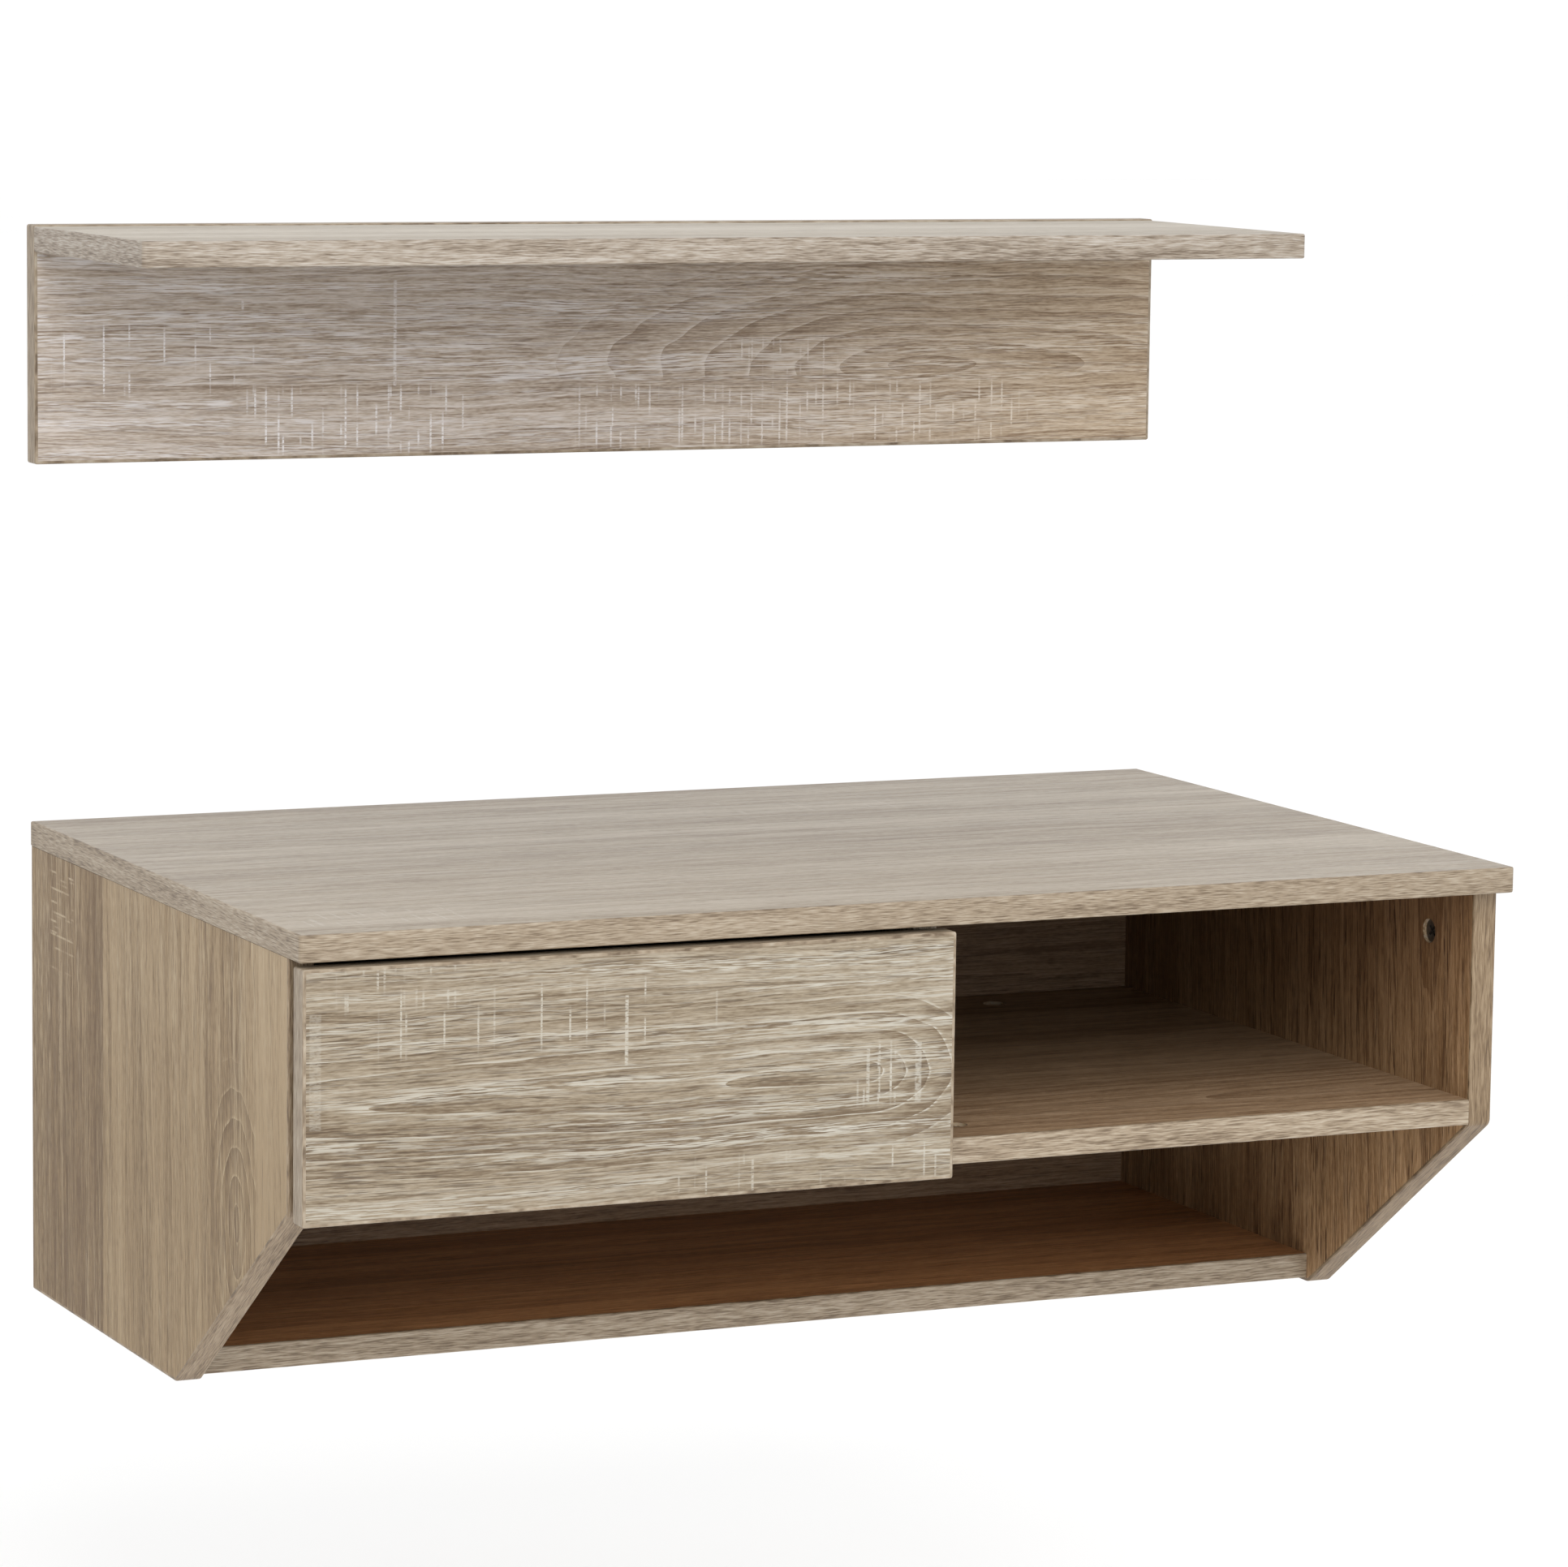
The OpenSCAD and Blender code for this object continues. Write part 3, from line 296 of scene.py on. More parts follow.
def oak_pattern(oak):
    """The oak of the board faces, with its grain along X and its growth rings stacked along Y"""
    tree, weave, given, result = new_group(
        "oak_pattern",
        [
            ("Grain", "Vector"), ("Heart", "Vector"), ("Seed", "Float"), ("Tone", "Float"),
            ("Figure", "Float"), ("Stretch", "Float"), ("Tip", "Float"), ("Reach", "Float"),
            ("Rings", "Float"), ("Chalk", "Float"), ("Pores", "Float"), ("Saw", "Float"),
            ("Haze", "Float"), ("Column", "Float"), ("Slant", "Float"), ("Outline", "Float"),
        ],
        [("Color", "Color"), ("Height", "Float"), ("Roughness", "Float")],
    )
    grain, heart, seed = given["Grain"], given["Heart"], given["Seed"]
    along, across, _ = weave.parts(grain)
    shift = weave.add("ShaderNodeVectorMath", {0: SEED_STEP, "Scale": seed}, operation="SCALE")
    seeded = weave.vector("ADD", grain, shift.outputs[0])
    wave = weave.math("SUBTRACT", weave.noise(seeded, WAVE, 1.0), 0.5)
    ripple = weave.math("SUBTRACT", weave.noise(seeded, RIPPLE, 1.0), 0.5)
    tilt = weave.math("MULTIPLY", along, given["Slant"])
    bend = weave.sum((wave, WAVE_SWAY), (ripple, RIPPLE_SWAY), (tilt, 1.0))
    run = weave.vector("ADD", seeded, weave.point(0.0, bend, 0.0))

    broad = weave.noise(run, BROAD, 1.0)
    narrow = weave.noise(run, NARROW, 2.0)
    fibre = weave.noise(run, FIBRE, 2.0)
    speckle = weave.noise(run, SPECKLE, 1.0)

    heart_along, heart_across, _ = weave.parts(heart)
    ahead = weave.math("MULTIPLY", weave.math("SUBTRACT", along, heart_along), given["Stretch"])
    behind_heart = weave.math("MINIMUM", ahead, 0.0)
    skewed = weave.math("MULTIPLY_ADD", weave.math("MAXIMUM", ahead, 0.0), given["Tip"], behind_heart)
    beside = weave.math("SUBTRACT", weave.math("ADD", across, bend), heart_across)
    radius = weave.math("SQRT", weave.sum(
        (weave.math("MULTIPLY", skewed, skewed), 1.0), (weave.math("MULTIPLY", beside, beside), 1.0)
    ))
    gone = weave.rise(weave.math("DIVIDE", radius, given["Reach"]), 0.7, 1.15)
    figure = weave.math("MULTIPLY", given["Figure"], weave.math("SUBTRACT", 1.0, gone))
    wander = weave.noise(seeded, WANDER, 2.0)
    counted = weave.math("MULTIPLY", radius, given["Rings"])
    rings = weave.math("FRACT", weave.sum((counted, 1.0), (wander, 0.9)))
    lines = weave.math("FRACT", weave.sum(
        (across, STRAIGHT_RINGS), (wave, 1.6), (wander, 1.5), (seed, 3.0)
    ))

    def crossfade(curved, straight):
        """Curved rings in the figure and straight ones beyond it"""
        return weave.math("MULTIPLY_ADD", weave.math("SUBTRACT", curved, straight), figure, straight)

    late = crossfade(
        weave.math("POWER", rings, 1.7), weave.math("MULTIPLY", weave.math("POWER", lines, 2.0), 0.6)
    )
    ring_start = weave.math("SUBTRACT", 1.0, weave.rise(rings, 0.02, 0.14))
    line_start = weave.math("SUBTRACT", 1.0, weave.rise(lines, 0.02, 0.12))
    outline = crossfade(
        weave.math("MULTIPLY", ring_start, given["Outline"]), weave.math("MULTIPLY", line_start, 0.35)
    )

    tone = weave.sum(
        (broad, 0.95), (narrow, 0.45), (fibre, 1.85), (speckle, 1.20), (late, -0.38), (outline, 0.10),
        (given["Tone"], 1.0), (1.0, TONE_SHIFT),
    )
    base = weave.ramp(tone, [(0.0, oak.dark), (0.5, oak.middle), (1.0, oak.pale)])

    strokes = weave.rise(weave.noise(run, STROKES, 1.0), 0.54, 0.61)
    rows = weave.rise(weave.sum((weave.noise(run, ROWS, 1.0), 1.0), (late, 0.10)), 0.42, 0.62)
    dots = weave.rise(weave.noise(run, DOTS, 1.0), 0.57, 0.68)
    pores = weave.math(
        "MAXIMUM", weave.math("MULTIPLY", strokes, rows), weave.math("MULTIPLY", dots, 0.4)
    )
    pores = weave.math("MULTIPLY", pores, given["Pores"])

    away = weave.vector("ADD", run, CHALK_STEP)
    limed = weave.rise(weave.noise(away, LIME, 2.0), 0.48, 0.58)
    banks = weave.rise(weave.noise(away, BANKS, 1.0), 0.36, 0.70)
    lined = weave.math("MULTIPLY", outline, weave.rise(fibre, 0.42, 0.56))
    chalk = weave.math("MAXIMUM", weave.math("MULTIPLY", limed, banks), lined)
    chalk = weave.math("MULTIPLY", chalk, given["Chalk"])
    crumbs = weave.rise(weave.noise(away, CRUMBS, 1.0), 0.32, 0.56)
    saw = weave.math("MULTIPLY", saw_lines(weave, along, across, *SAW), given["Saw"])
    haze = weave.math("MULTIPLY", saw_lines(weave, along, across, *HAZE), given["Haze"])
    marks = weave.math("MAXIMUM", weave.math("MAXIMUM", saw, haze), given["Column"])
    marks = weave.math("MULTIPLY", marks, crumbs)

    inked = weave.blend(weave.math("MULTIPLY", pores, 0.80), base, solid(oak.pore))
    whitened = weave.blend(weave.math("MULTIPLY", chalk, 0.85), inked, solid(oak.chalk))
    marked = weave.blend(weave.math("MULTIPLY", marks, 0.95), whitened, solid(oak.chalk))
    height = weave.sum((pores, -1.0), (fibre, 0.5), (chalk, 0.35), (marks, 0.35))
    roughness = weave.sum((fibre, 0.16), (pores, 0.12), (chalk, 0.06), (1.0, 0.38))
    weave.feed(result["Color"], marked)
    weave.feed(result["Height"], height)
    weave.feed(result["Roughness"], roughness)
    return tree


def chipboard(weave, place, oak):
    """Colour and height of pressed chips, seen where a board has no band"""
    chips = weave.add("ShaderNodeTexVoronoi", {"Vector": place, "Scale": 620.0})
    shade = weave.parts(chips.outputs["Color"])[0]
    dust = weave.noise(place, (1500, 1500, 1500), 2.0)
    mixed = weave.sum((shade, 0.7), (dust, 0.6))
    tint = weave.ramp(mixed, [(0.2, oak.chip_dark), (0.55, oak.chip_pale), (1.0, oak.pale)])
    return tint, weave.sum((shade, 0.5), (dust, 0.5))


class Patch:
    """A rectangle of marks on a board, in mm along and across its grain

    Its kind is saw (lines across the grain), haze (finer and closer lines) or column (one mark)."""
    SOFT_EDGE = {"saw": 5.0, "haze": 5.0, "column": 0.5}

    def __init__(self, along, across, strength, kind="saw"):
        self.along, self.across = along, across
        self.strength, self.kind = strength, kind

    def mask(self, weave, position):
        """The patch's strength inside it, and 0 outside"""
        soft = self.SOFT_EDGE[self.kind] * MM
        covered = self.strength
        for value, (low, high) in zip(position, (self.along, self.across)):
            past_low = weave.rise(value, low * MM - soft, low * MM + soft)
            past_high = weave.rise(value, high * MM - soft, high * MM + soft)
            inside = weave.math("MULTIPLY", past_low, weave.math("SUBTRACT", 1.0, past_high))
            covered = weave.math("MULTIPLY", inside, covered)
        return covered


class Plank:
    """A strip of the print: its start across the grain in mm, its tone, its seed and if it is figured"""

    def __init__(self, start, tone=0.5, seed=0.1, figured=False):
        self.start, self.tone, self.seed, self.figured = start, tone, seed, figured


class Board:
    """How the printed oak lies on a CAD board

    lie is flat (grain left to right), side (on edge, grain upright), rail (on edge, grain front to
    back) or front (upright, grain left to right). planks start at the rear or lower edge. heart is
    the middle of the rings, in mm from the left, lower or front end and from that edge. stretch is
    how much a step along the grain counts beside one across it, so a small one draws the rings out,
    and tip multiplies it beyond the heart. reach is where the rings fade in mm, rings is their number
    to the metre, and outline is the strength of the pale line that starts each one. slant is the
    grain's rise along its length. tint multiplies the colour at the end where the grain starts,
    far_tint at the other end and rear_tint on the other face. Many boards use these tints as painted
    light and shade, lightening, darkening, warming or cooling a face by how light falls on it, as
    their entries say. sheen is how much the paper reflects.
    """

    def __init__(self, lie, planks, heart=(0, 0), stretch=0.1, tip=1.0, reach=100, rings=90, chalk=0.5,
                 pores=0.6, slant=0.0, outline=0.6, tint=(1, 1, 1), far_tint=None, rear_tint=None,
                 sheen=0.35, patches=()):
        self.lie, self.planks, self.heart, self.stretch = lie, planks, heart, stretch
        self.tip, self.reach, self.rings = tip, reach, rings
        self.chalk, self.pores, self.slant, self.outline = chalk, pores, slant, outline
        self.tint, self.far_tint, self.rear_tint = tint, far_tint or tint, rear_tint or tint
        self.sheen, self.patches = sheen, patches

    def mapping(self, low, high):
        """Location, rotation and scale that put the grain along X and the board's middle at Z = 0"""
        middle = (low + high) / 2
        if self.lie == "flat":
            return (-low.x, high.y, -middle.z), (0, 0, 0), (1, -1, 1)
        if self.lie == "side":
            return (-low.z, high.y, middle.x), (0, math.radians(90), 0), (1, -1, 1)
        if self.lie == "rail":
            return (-low.y, -low.z, -middle.x), (math.radians(-90), math.radians(-90), 0), (1, 1, 1)
        return (-low.x, -low.z, middle.y), (math.radians(-90), 0, 0), (1, 1, 1)

    def sizes(self, low, high):
        """Size along the grain, across it, and thickness"""
        size = high - low
        return {
            "flat": (size.x, size.y, size.z), "side": (size.z, size.y, size.x),
            "front": (size.x, size.z, size.y), "rail": (size.y, size.z, size.x),
        }[self.lie]


# Painted shade: tints that darken and warm the right side's outer face, and faces turned down, to the wall
# or to the inside
PAINTED_SHADE_OUTER_SIDE = (0.80, 0.70, 0.54)
PAINTED_SHADE_TURNED_AWAY = (0.92, 0.87, 0.78)

BOARDS = {
    "top_panel": Board(
        "flat", [Plank(0, 0.50, 0.2), Plank(196, 0.44, 0.5), Plank(338, 0.58, 0.8)],
        # Painted reflection: the cool tint greys and cools the top's print, standing in for the white
        # room's sheen
        chalk=0.3, pores=0.3, tint=(1.0, 1.05, 1.13), sheen=0.5,
        patches=[Patch((15, 120), (425, 470), 0.45, "haze"), Patch((430, 560), (60, 120), 0.4)],
    ),
    "side_panel_left": Board(
        "side", [Plank(0, 0.22, 0.3), Plank(62, 0.30, 0.45), Plank(143, 0.56, 0.7), Plank(268, 0.56, 0.4),
                 Plank(352, 0.50, 0.15, figured=True), Plank(424, 0.95, 0.9)],
        heart=(118, 398), stretch=0.50, tip=1.2, reach=56, rings=95, chalk=0.75, pores=0.5, slant=0.04,
        # Painted shade: the tints darken and warm the left side against the front, most at its lower end
        outline=1.3, tint=(0.73, 0.63, 0.47), far_tint=(0.84, 0.75, 0.60), sheen=0.15,
        patches=[Patch((215, 285), (40, 85), 0.9, "haze"), Patch((225, 280), (48, 80), 0.6),
                 Patch((150, 215), (55, 60), 0.3, "column")],
    ),
    "side_panel_right": Board(
        "side", [Plank(0, 0.18, 0.6), Plank(288, 0.46, 0.35, figured=True)],
        heart=(700, 440), stretch=0.06, reach=200, rings=120, chalk=0.2, pores=1.3, slant=0.05,
        # Painted shade: the tints warm the inner face and darken it toward its top, under the top panel
        tint=(1.10, 0.86, 0.63), far_tint=(0.74, 0.52, 0.36), rear_tint=PAINTED_SHADE_OUTER_SIDE,
    ),
    "divider_panel": Board("side", [Plank(0, 0.45, 0.4), Plank(230, 0.5, 0.75)], slant=0.04),
    "shelf_panel_left": Board("flat", [Plank(0, 0.45, 0.25), Plank(260, 0.52, 0.6)]),
    "shelf_panel_right": Board(
        "flat", [Plank(0, 0.40, 0.45), Plank(300, 0.44, 0.1, figured=True)],
        # Painted light: the tint lightens and warms the shelf in the open compartment, standing in for warm
        # bounce light
        heart=(420, 395), stretch=0.08, reach=110, rings=90, chalk=0.2, pores=0.6, tint=(1.14, 0.96, 0.82),
        rear_tint=PAINTED_SHADE_TURNED_AWAY,
    ),
    "bottom_panel": Board(
        "flat", [Plank(0, 0.42, 0.9), Plank(150, 0.45, 0.33)], chalk=0.2,
        # Painted bounce light: the tint makes the low floor redder and more saturated, as light bounced
        # between wood would
        tint=(1.48, 0.95, 0.62), rear_tint=PAINTED_SHADE_TURNED_AWAY,
    ),
    "back_panel": Board(
        "front", [Plank(0, 0.46, 0.55), Plank(120, 0.40, 0.2), Plank(215, 0.5, 0.7)], chalk=0.35,
        # Painted shade: the tint darkens and warms the back panel's face inside the cabinet
        tint=(0.92, 0.76, 0.66), rear_tint=PAINTED_SHADE_TURNED_AWAY,
    ),
    "drawer_front": Board(
        "front", [Plank(0, 0.44, 0.65, figured=True), Plank(121, 0.62, 0.3)],
        heart=(352, 66), stretch=0.05, tip=12, reach=50, rings=105, chalk=1.15, pores=0.85, outline=0.9,
        tint=(0.78, 0.79, 0.78), far_tint=(0.85, 0.88, 0.89), rear_tint=PAINTED_SHADE_TURNED_AWAY,
        patches=[
            Patch((45, 215), (94, 130), 1.0), Patch((20, 100), (122, 147), 0.8, "haze"),
            Patch((345, 378), (48, 86), 1.0, "haze"), Patch((2, 9), (54, 121), 0.35, "column"),
            Patch((360, 361), (50, 84), 0.8, "column"), Patch((384, 388), (46, 82), 0.6, "column"),
            Patch((225, 400), (0, 20), 0.8), Patch((196.5, 198.5), (80, 121), 1.0, "column"),
            Patch((278, 279.5), (0, 19), 0.7, "column"), Patch((352, 354), (48, 80), 0.7, "column"),
            Patch((231, 232), (2, 12), 0.6, "column"), Patch((254, 255), (100, 121), 0.5, "column"),
        ],
    ),
    "drawer_side_left": Board("rail", [Plank(0, 0.5, 0.5)], chalk=0.3),
    "drawer_side_right": Board("rail", [Plank(0, 0.5, 0.8)], chalk=0.3),
    "drawer_back": Board("front", [Plank(0, 0.5, 0.15)], chalk=0.3),
    "wall_shelf_board": Board(
        "flat", [Plank(0, 0.52, 0.35), Plank(120, 0.48, 0.05)], chalk=0.4, pores=0.3,
        # Painted reflection: the tint lightens and cools the board, standing in for the white room's sheen
        # on its top
        tint=(1.14, 1.24, 1.38),
    ),
    "wall_shelf_back": Board(
        "front", [Plank(0, 0.48, 0.4), Plank(46, 0.44, 0.85, figured=True)],
        heart=(618, 50), stretch=0.33, tip=0.45, reach=92, rings=88, chalk=0.85, pores=0.5, outline=0.45,
        # Painted light and painted reflection: the tints lighten and cool the back, less cool toward its
        # right end
        tint=(1.25, 1.33, 1.58), far_tint=(1.24, 1.20, 1.18), rear_tint=PAINTED_SHADE_TURNED_AWAY,
        patches=[
            Patch((12, 150), (42, 84), 1.0), Patch((136, 137.5), (94, 100), 0.6, "column"),
            Patch((240, 242), (44, 112), 0.6, "column"),
            Patch((140, 290), (2, 42), 1.0, "haze"), Patch((440, 700), (2, 40), 0.8, "haze"),
            Patch((370, 425), (2, 40), 0.8, "haze"), Patch((480, 560), (48, 70), 0.6, "haze"),
        ],
    ),
}


RAW_ROUGHNESS = 0.85
DECOR_DEPTH = 0.25 * MM
FAR_TINT_START = 0.4
PLANK_SEED_SPREAD = 9.0
BOARD_SEED_STEP = 1.7


def plank_strips(weave, across, width, planks):
    """Tone, seed and figure of the plank at each place across the board"""
    stops = [
        (plank.start * MM / width, (plank.tone, plank.seed, float(plank.figured))) for plank in planks
    ]
    strips = weave.ramp(weave.math("DIVIDE", across, width), stops, "CONSTANT")
    return weave.add("ShaderNodeSeparateColor", {0: strips}).outputs


def oak_material(name, board, number, oak, pattern):
    """The printed oak of one board, with raw chipboard wherever the board has no paper"""
    low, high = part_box(name)
    length_along, width, thick = board.sizes(low, high)
    location, rotation, scale = board.mapping(low, high)
    material, weave = new_material("oak_" + name)
    coordinates = weave.add("ShaderNodeTexCoord")
    turned = weave.add("ShaderNodeMapping", {
        "Vector": coordinates.outputs["Object"],
        "Location": location, "Rotation": rotation, "Scale": scale,
    })
    grain = turned.outputs[0]
    along, across, depth = weave.parts(grain)
    tone, seed, figure = plank_strips(weave, across, width, board.planks)
    seed = weave.math("MULTIPLY_ADD", seed, PLANK_SEED_SPREAD, number * BOARD_SEED_STEP)
    masks = {"saw": 0.0, "haze": 0.0, "column": 0.0}
    for patch in board.patches:
        mask = patch.mask(weave, (along, across))
        masks[patch.kind] = weave.math("MAXIMUM", mask, masks[patch.kind])
    oak_node = weave.add("ShaderNodeGroup", node_tree=pattern)
    for key, value in {
        "Grain": grain, "Heart": (board.heart[0] * MM, board.heart[1] * MM, 0), "Seed": seed,
        "Tone": tone, "Figure": figure, "Stretch": board.stretch, "Tip": board.tip,
        "Reach": board.reach * MM, "Rings": board.rings, "Chalk": board.chalk, "Pores": board.pores,
        "Saw": masks["saw"], "Haze": masks["haze"], "Column": masks["column"], "Slant": board.slant,
        "Outline": board.outline,
    }.items():
        weave.feed(oak_node.inputs[key], value)
    raw_tint, raw_height = chipboard(weave, grain, oak)
    printed = weave.math("GREATER_THAN", weave.math("ABSOLUTE", depth), thick / 2 - oak.paper)
    # Painted light and shade: the board's tints lighten, darken, warm or cool its print, graded from one
    # end to the other and set apart on the rear face
    end = weave.rise(weave.math("DIVIDE", along, length_along), FAR_TINT_START, 1.0)
    tint = weave.blend(end, solid(board.tint), solid(board.far_tint))
    tint = weave.blend(weave.math("LESS_THAN", depth, 0.0), tint, solid(board.rear_tint))
    tinted = weave.vector("MULTIPLY", oak_node.outputs["Color"], tint)
    base = weave.blend(printed, raw_tint, tinted)
    rough_gap = weave.math("SUBTRACT", oak_node.outputs["Roughness"], RAW_ROUGHNESS)
    roughness = weave.math("MULTIPLY_ADD", rough_gap, printed, RAW_ROUGHNESS)
    height_gap = weave.math("SUBTRACT", oak_node.outputs["Height"], raw_height)
    height = weave.math("MULTIPLY_ADD", height_gap, printed, raw_height)
    finish_surface(
        weave, base, roughness, height, DECOR_DEPTH, oak.relief, Specular_IOR_Level=board.sheen
    )
    return material


# Cells of the edging to the metre, along an edge and across it
EDGE_STROKES = (80, 1450)
EDGE_FIBRE = (170, 2300)
EDGE_BROAD = (7, 150)
EDGE_WANDER = (32, 32, 32)
EDGE_SWAY = 0.0022
EDGE_RELIEF = 0.4


def edging_material(name, across, tint, oak):
    """Oak edging whose strokes run along the edge, whichever way it turns; across is X, Y or Z"""
    material, weave = new_material(name)
    place = weave.add("ShaderNodeTexCoord").outputs["Object"]
    axis = "XYZ".index(across)
    wander = weave.math("SUBTRACT", weave.noise(place, EDGE_WANDER, 2.0), 0.5)
    push = [0.0, 0.0, 0.0]
    push[axis] = weave.math("MULTIPLY", wander, EDGE_SWAY)
    place = weave.vector("ADD", place, weave.point(*push))

    def cells(lengthwise, crosswise):
        return tuple(crosswise if i == axis else lengthwise for i in range(3))

    strokes = weave.noise(place, cells(*EDGE_STROKES), 2.0)
    fibre = weave.noise(place, cells(*EDGE_FIBRE), 2.0)
    broad = weave.noise(place, cells(*EDGE_BROAD), 1.0)
    tone = weave.sum((strokes, 2.1), (fibre, 0.9), (broad, 0.8), (1.0, -1.40))
    base = weave.ramp(tone, [(0.05, oak.edge_dark), (0.5, oak.edge_middle), (1.0, oak.edge_pale)])
    roughness = weave.sum((fibre, 0.2), (1.0, 0.42))
    tinted = weave.vector("MULTIPLY", base, tint)
    finish_surface(weave, tinted, roughness, tone, DECOR_DEPTH, EDGE_RELIEF)
    return material


# ---- Modelling ----

SMOOTH_ANGLE = math.radians(35)
ROLLER_SMOOTH_ANGLE = math.radians(40)
TOUCHING = 0.01 * MM


def deselect():
    if bpy.context.mode != "OBJECT":
        bpy.ops.object.mode_set(mode="OBJECT")
    bpy.ops.object.select_all(action="DESELECT")


def activate(piece):
    deselect()
    piece.select_set(True)
    bpy.context.view_layer.objects.active = piece


def place_in_mesh(name):
    """Names the piece just added, and moves its place and size into its mesh"""
    piece = bpy.context.active_object
    piece.name = name
    piece.data.name = name
    bpy.ops.object.transform_apply(location=True, rotation=True, scale=True)
    return piece


def block(name, low, high):
    """A box between two corners"""
    deselect()
    bpy.ops.mesh.primitive_cube_add(size=1.0, location=(low + high) / 2)
    bpy.context.active_object.scale = high - low
    return place_in_mesh(name)


def slice_off(piece, point, normal):
    """Removes what lies on the normal's side of a plane, and closes the cut"""
    activate(piece)
    bpy.ops.object.mode_set(mode="EDIT")
    bpy.ops.mesh.select_all(action="SELECT")
    bpy.ops.mesh.bisect(plane_co=point, plane_no=normal, use_fill=True, clear_outer=True)
    bpy.ops.object.mode_set(mode="OBJECT")


def round_edges(piece, radius, segments, chosen):
    """Rounds the edges for which chosen(end, other_end) is true"""
    activate(piece)
    bpy.ops.object.mode_set(mode="EDIT")
    bpy.ops.mesh.select_mode(type="EDGE")
    bpy.ops.mesh.select_all(action="DESELECT")
    edit = bmesh.from_edit_mesh(piece.data)
    for edge in edit.edges:
        edge.select_set(chosen(edge.verts[0].co, edge.verts[1].co))
    bmesh.update_edit_mesh(piece.data)
    bpy.ops.mesh.bevel(offset=radius, segments=segments, affect="EDGES")
    bpy.ops.object.mode_set(mode="OBJECT")


def cut_away(piece, cutter):
    """Subtracts the cutter and removes it"""
    activate(piece)
    cut = piece.modifiers.new("cut", "BOOLEAN")
    cut.operation = "DIFFERENCE"
    cut.solver = "EXACT"
    cut.object = cutter
    bpy.ops.object.modifier_apply(modifier=cut.name)
    bpy.data.objects.remove(cutter)


def shade(piece, angle=SMOOTH_ANGLE):
    """Smooth roundings beside flat faces"""
    activate(piece)
    bpy.ops.object.shade_smooth_by_angle(angle=angle)
    even = piece.modifiers.new("even", "WEIGHTED_NORMAL")
    even.keep_sharp = True
    bpy.ops.object.modifier_apply(modifier=even.name)


def hand_over(piece, body, node, material):
    """Puts a finished piece in a CAD node's stead"""
    piece.data.materials.clear()
    piece.data.materials.append(material)
    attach(piece, body)
    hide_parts(node)


def near(a, b):
    return abs(a - b) < TOUCHING


def slant_corners(node):
    """The foot's front corner and the upper end of a side's slant, as (y, z)"""
    corners = [v.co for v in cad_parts[node].data.vertices]
    lowest = min(c.z for c in corners)
    foremost = min(c.y for c in corners)
    foot = min(c.y for c in corners if near(c.z, lowest))
    knee = min(c.z for c in corners if near(c.y, foremost))
    return (foot, lowest), (foremost, knee)


def slant_plane(node):
    """A point on a side's slant and the direction out of it"""
    (foot_y, foot_z), (knee_y, knee_z) = slant_corners(node)
    rise, run = knee_z - foot_z, foot_y - knee_y
    return Vector((0, foot_y, foot_z)), Vector((0, -rise, -run)).normalized()


# ---- Edge bands ----

BAND_TINT = (0.86, 0.88, 0.90)
SIDE_TINT = (0.74, 0.69, 0.62)
INNER_SIDE_TINT = (0.64, 0.57, 0.47)
SHELF_TINT = (0.97, 1.06, 1.24)
RIGHT_SHELF_TINT = (0.95, 0.97, 0.99)

CORNER_STEPS = 4
ARRIS_STEPS = 3
PAST_THE_FACE = 5 * MM


class Band:
    """An edge band of a CAD node: the board it goes round, or None for a straight strip, and its body

    across is the axis across the edge, slanted follows a side's slant, and sharp has the small rounding.
    """

    def __init__(self, node, board, body="root", across="Z", slanted=False, sharp=False, tint=BAND_TINT):
        self.node, self.board, self.body = node, board, body
        self.across, self.slanted, self.sharp, self.tint = across, slanted, sharp, tint


BANDS = {
    "edge_band_top": Band("top_panel_edging", "top_panel"),
    "edge_band_side_left": Band(
        "side_edging_left", "side_panel_left", across="X", slanted=True, tint=SIDE_TINT
    ),
    "edge_band_side_right": Band(
        "side_edging_right", "side_panel_right", across="X", slanted=True, tint=INNER_SIDE_TINT
    ),
    "edge_band_divider": Band("divider_edging", None, across="X"),
    "edge_band_shelf_left": Band("shelf_edging_left", None),
    "edge_band_shelf_right": Band("shelf_edging_right", None, tint=RIGHT_SHELF_TINT),
    "edge_band_bottom": Band("bottom_edging", None),
    "edge_band_drawer_front": Band("drawer_front_edging", "drawer_front", "drawer", "Y", sharp=True),
    "edge_band_wall_shelf": Band("wall_shelf_board_edging", "wall_shelf_board", tint=SHELF_TINT),
    "edge_band_wall_shelf_back": Band("wall_shelf_back_edging", "wall_shelf_back", across="Y", sharp=True),
}


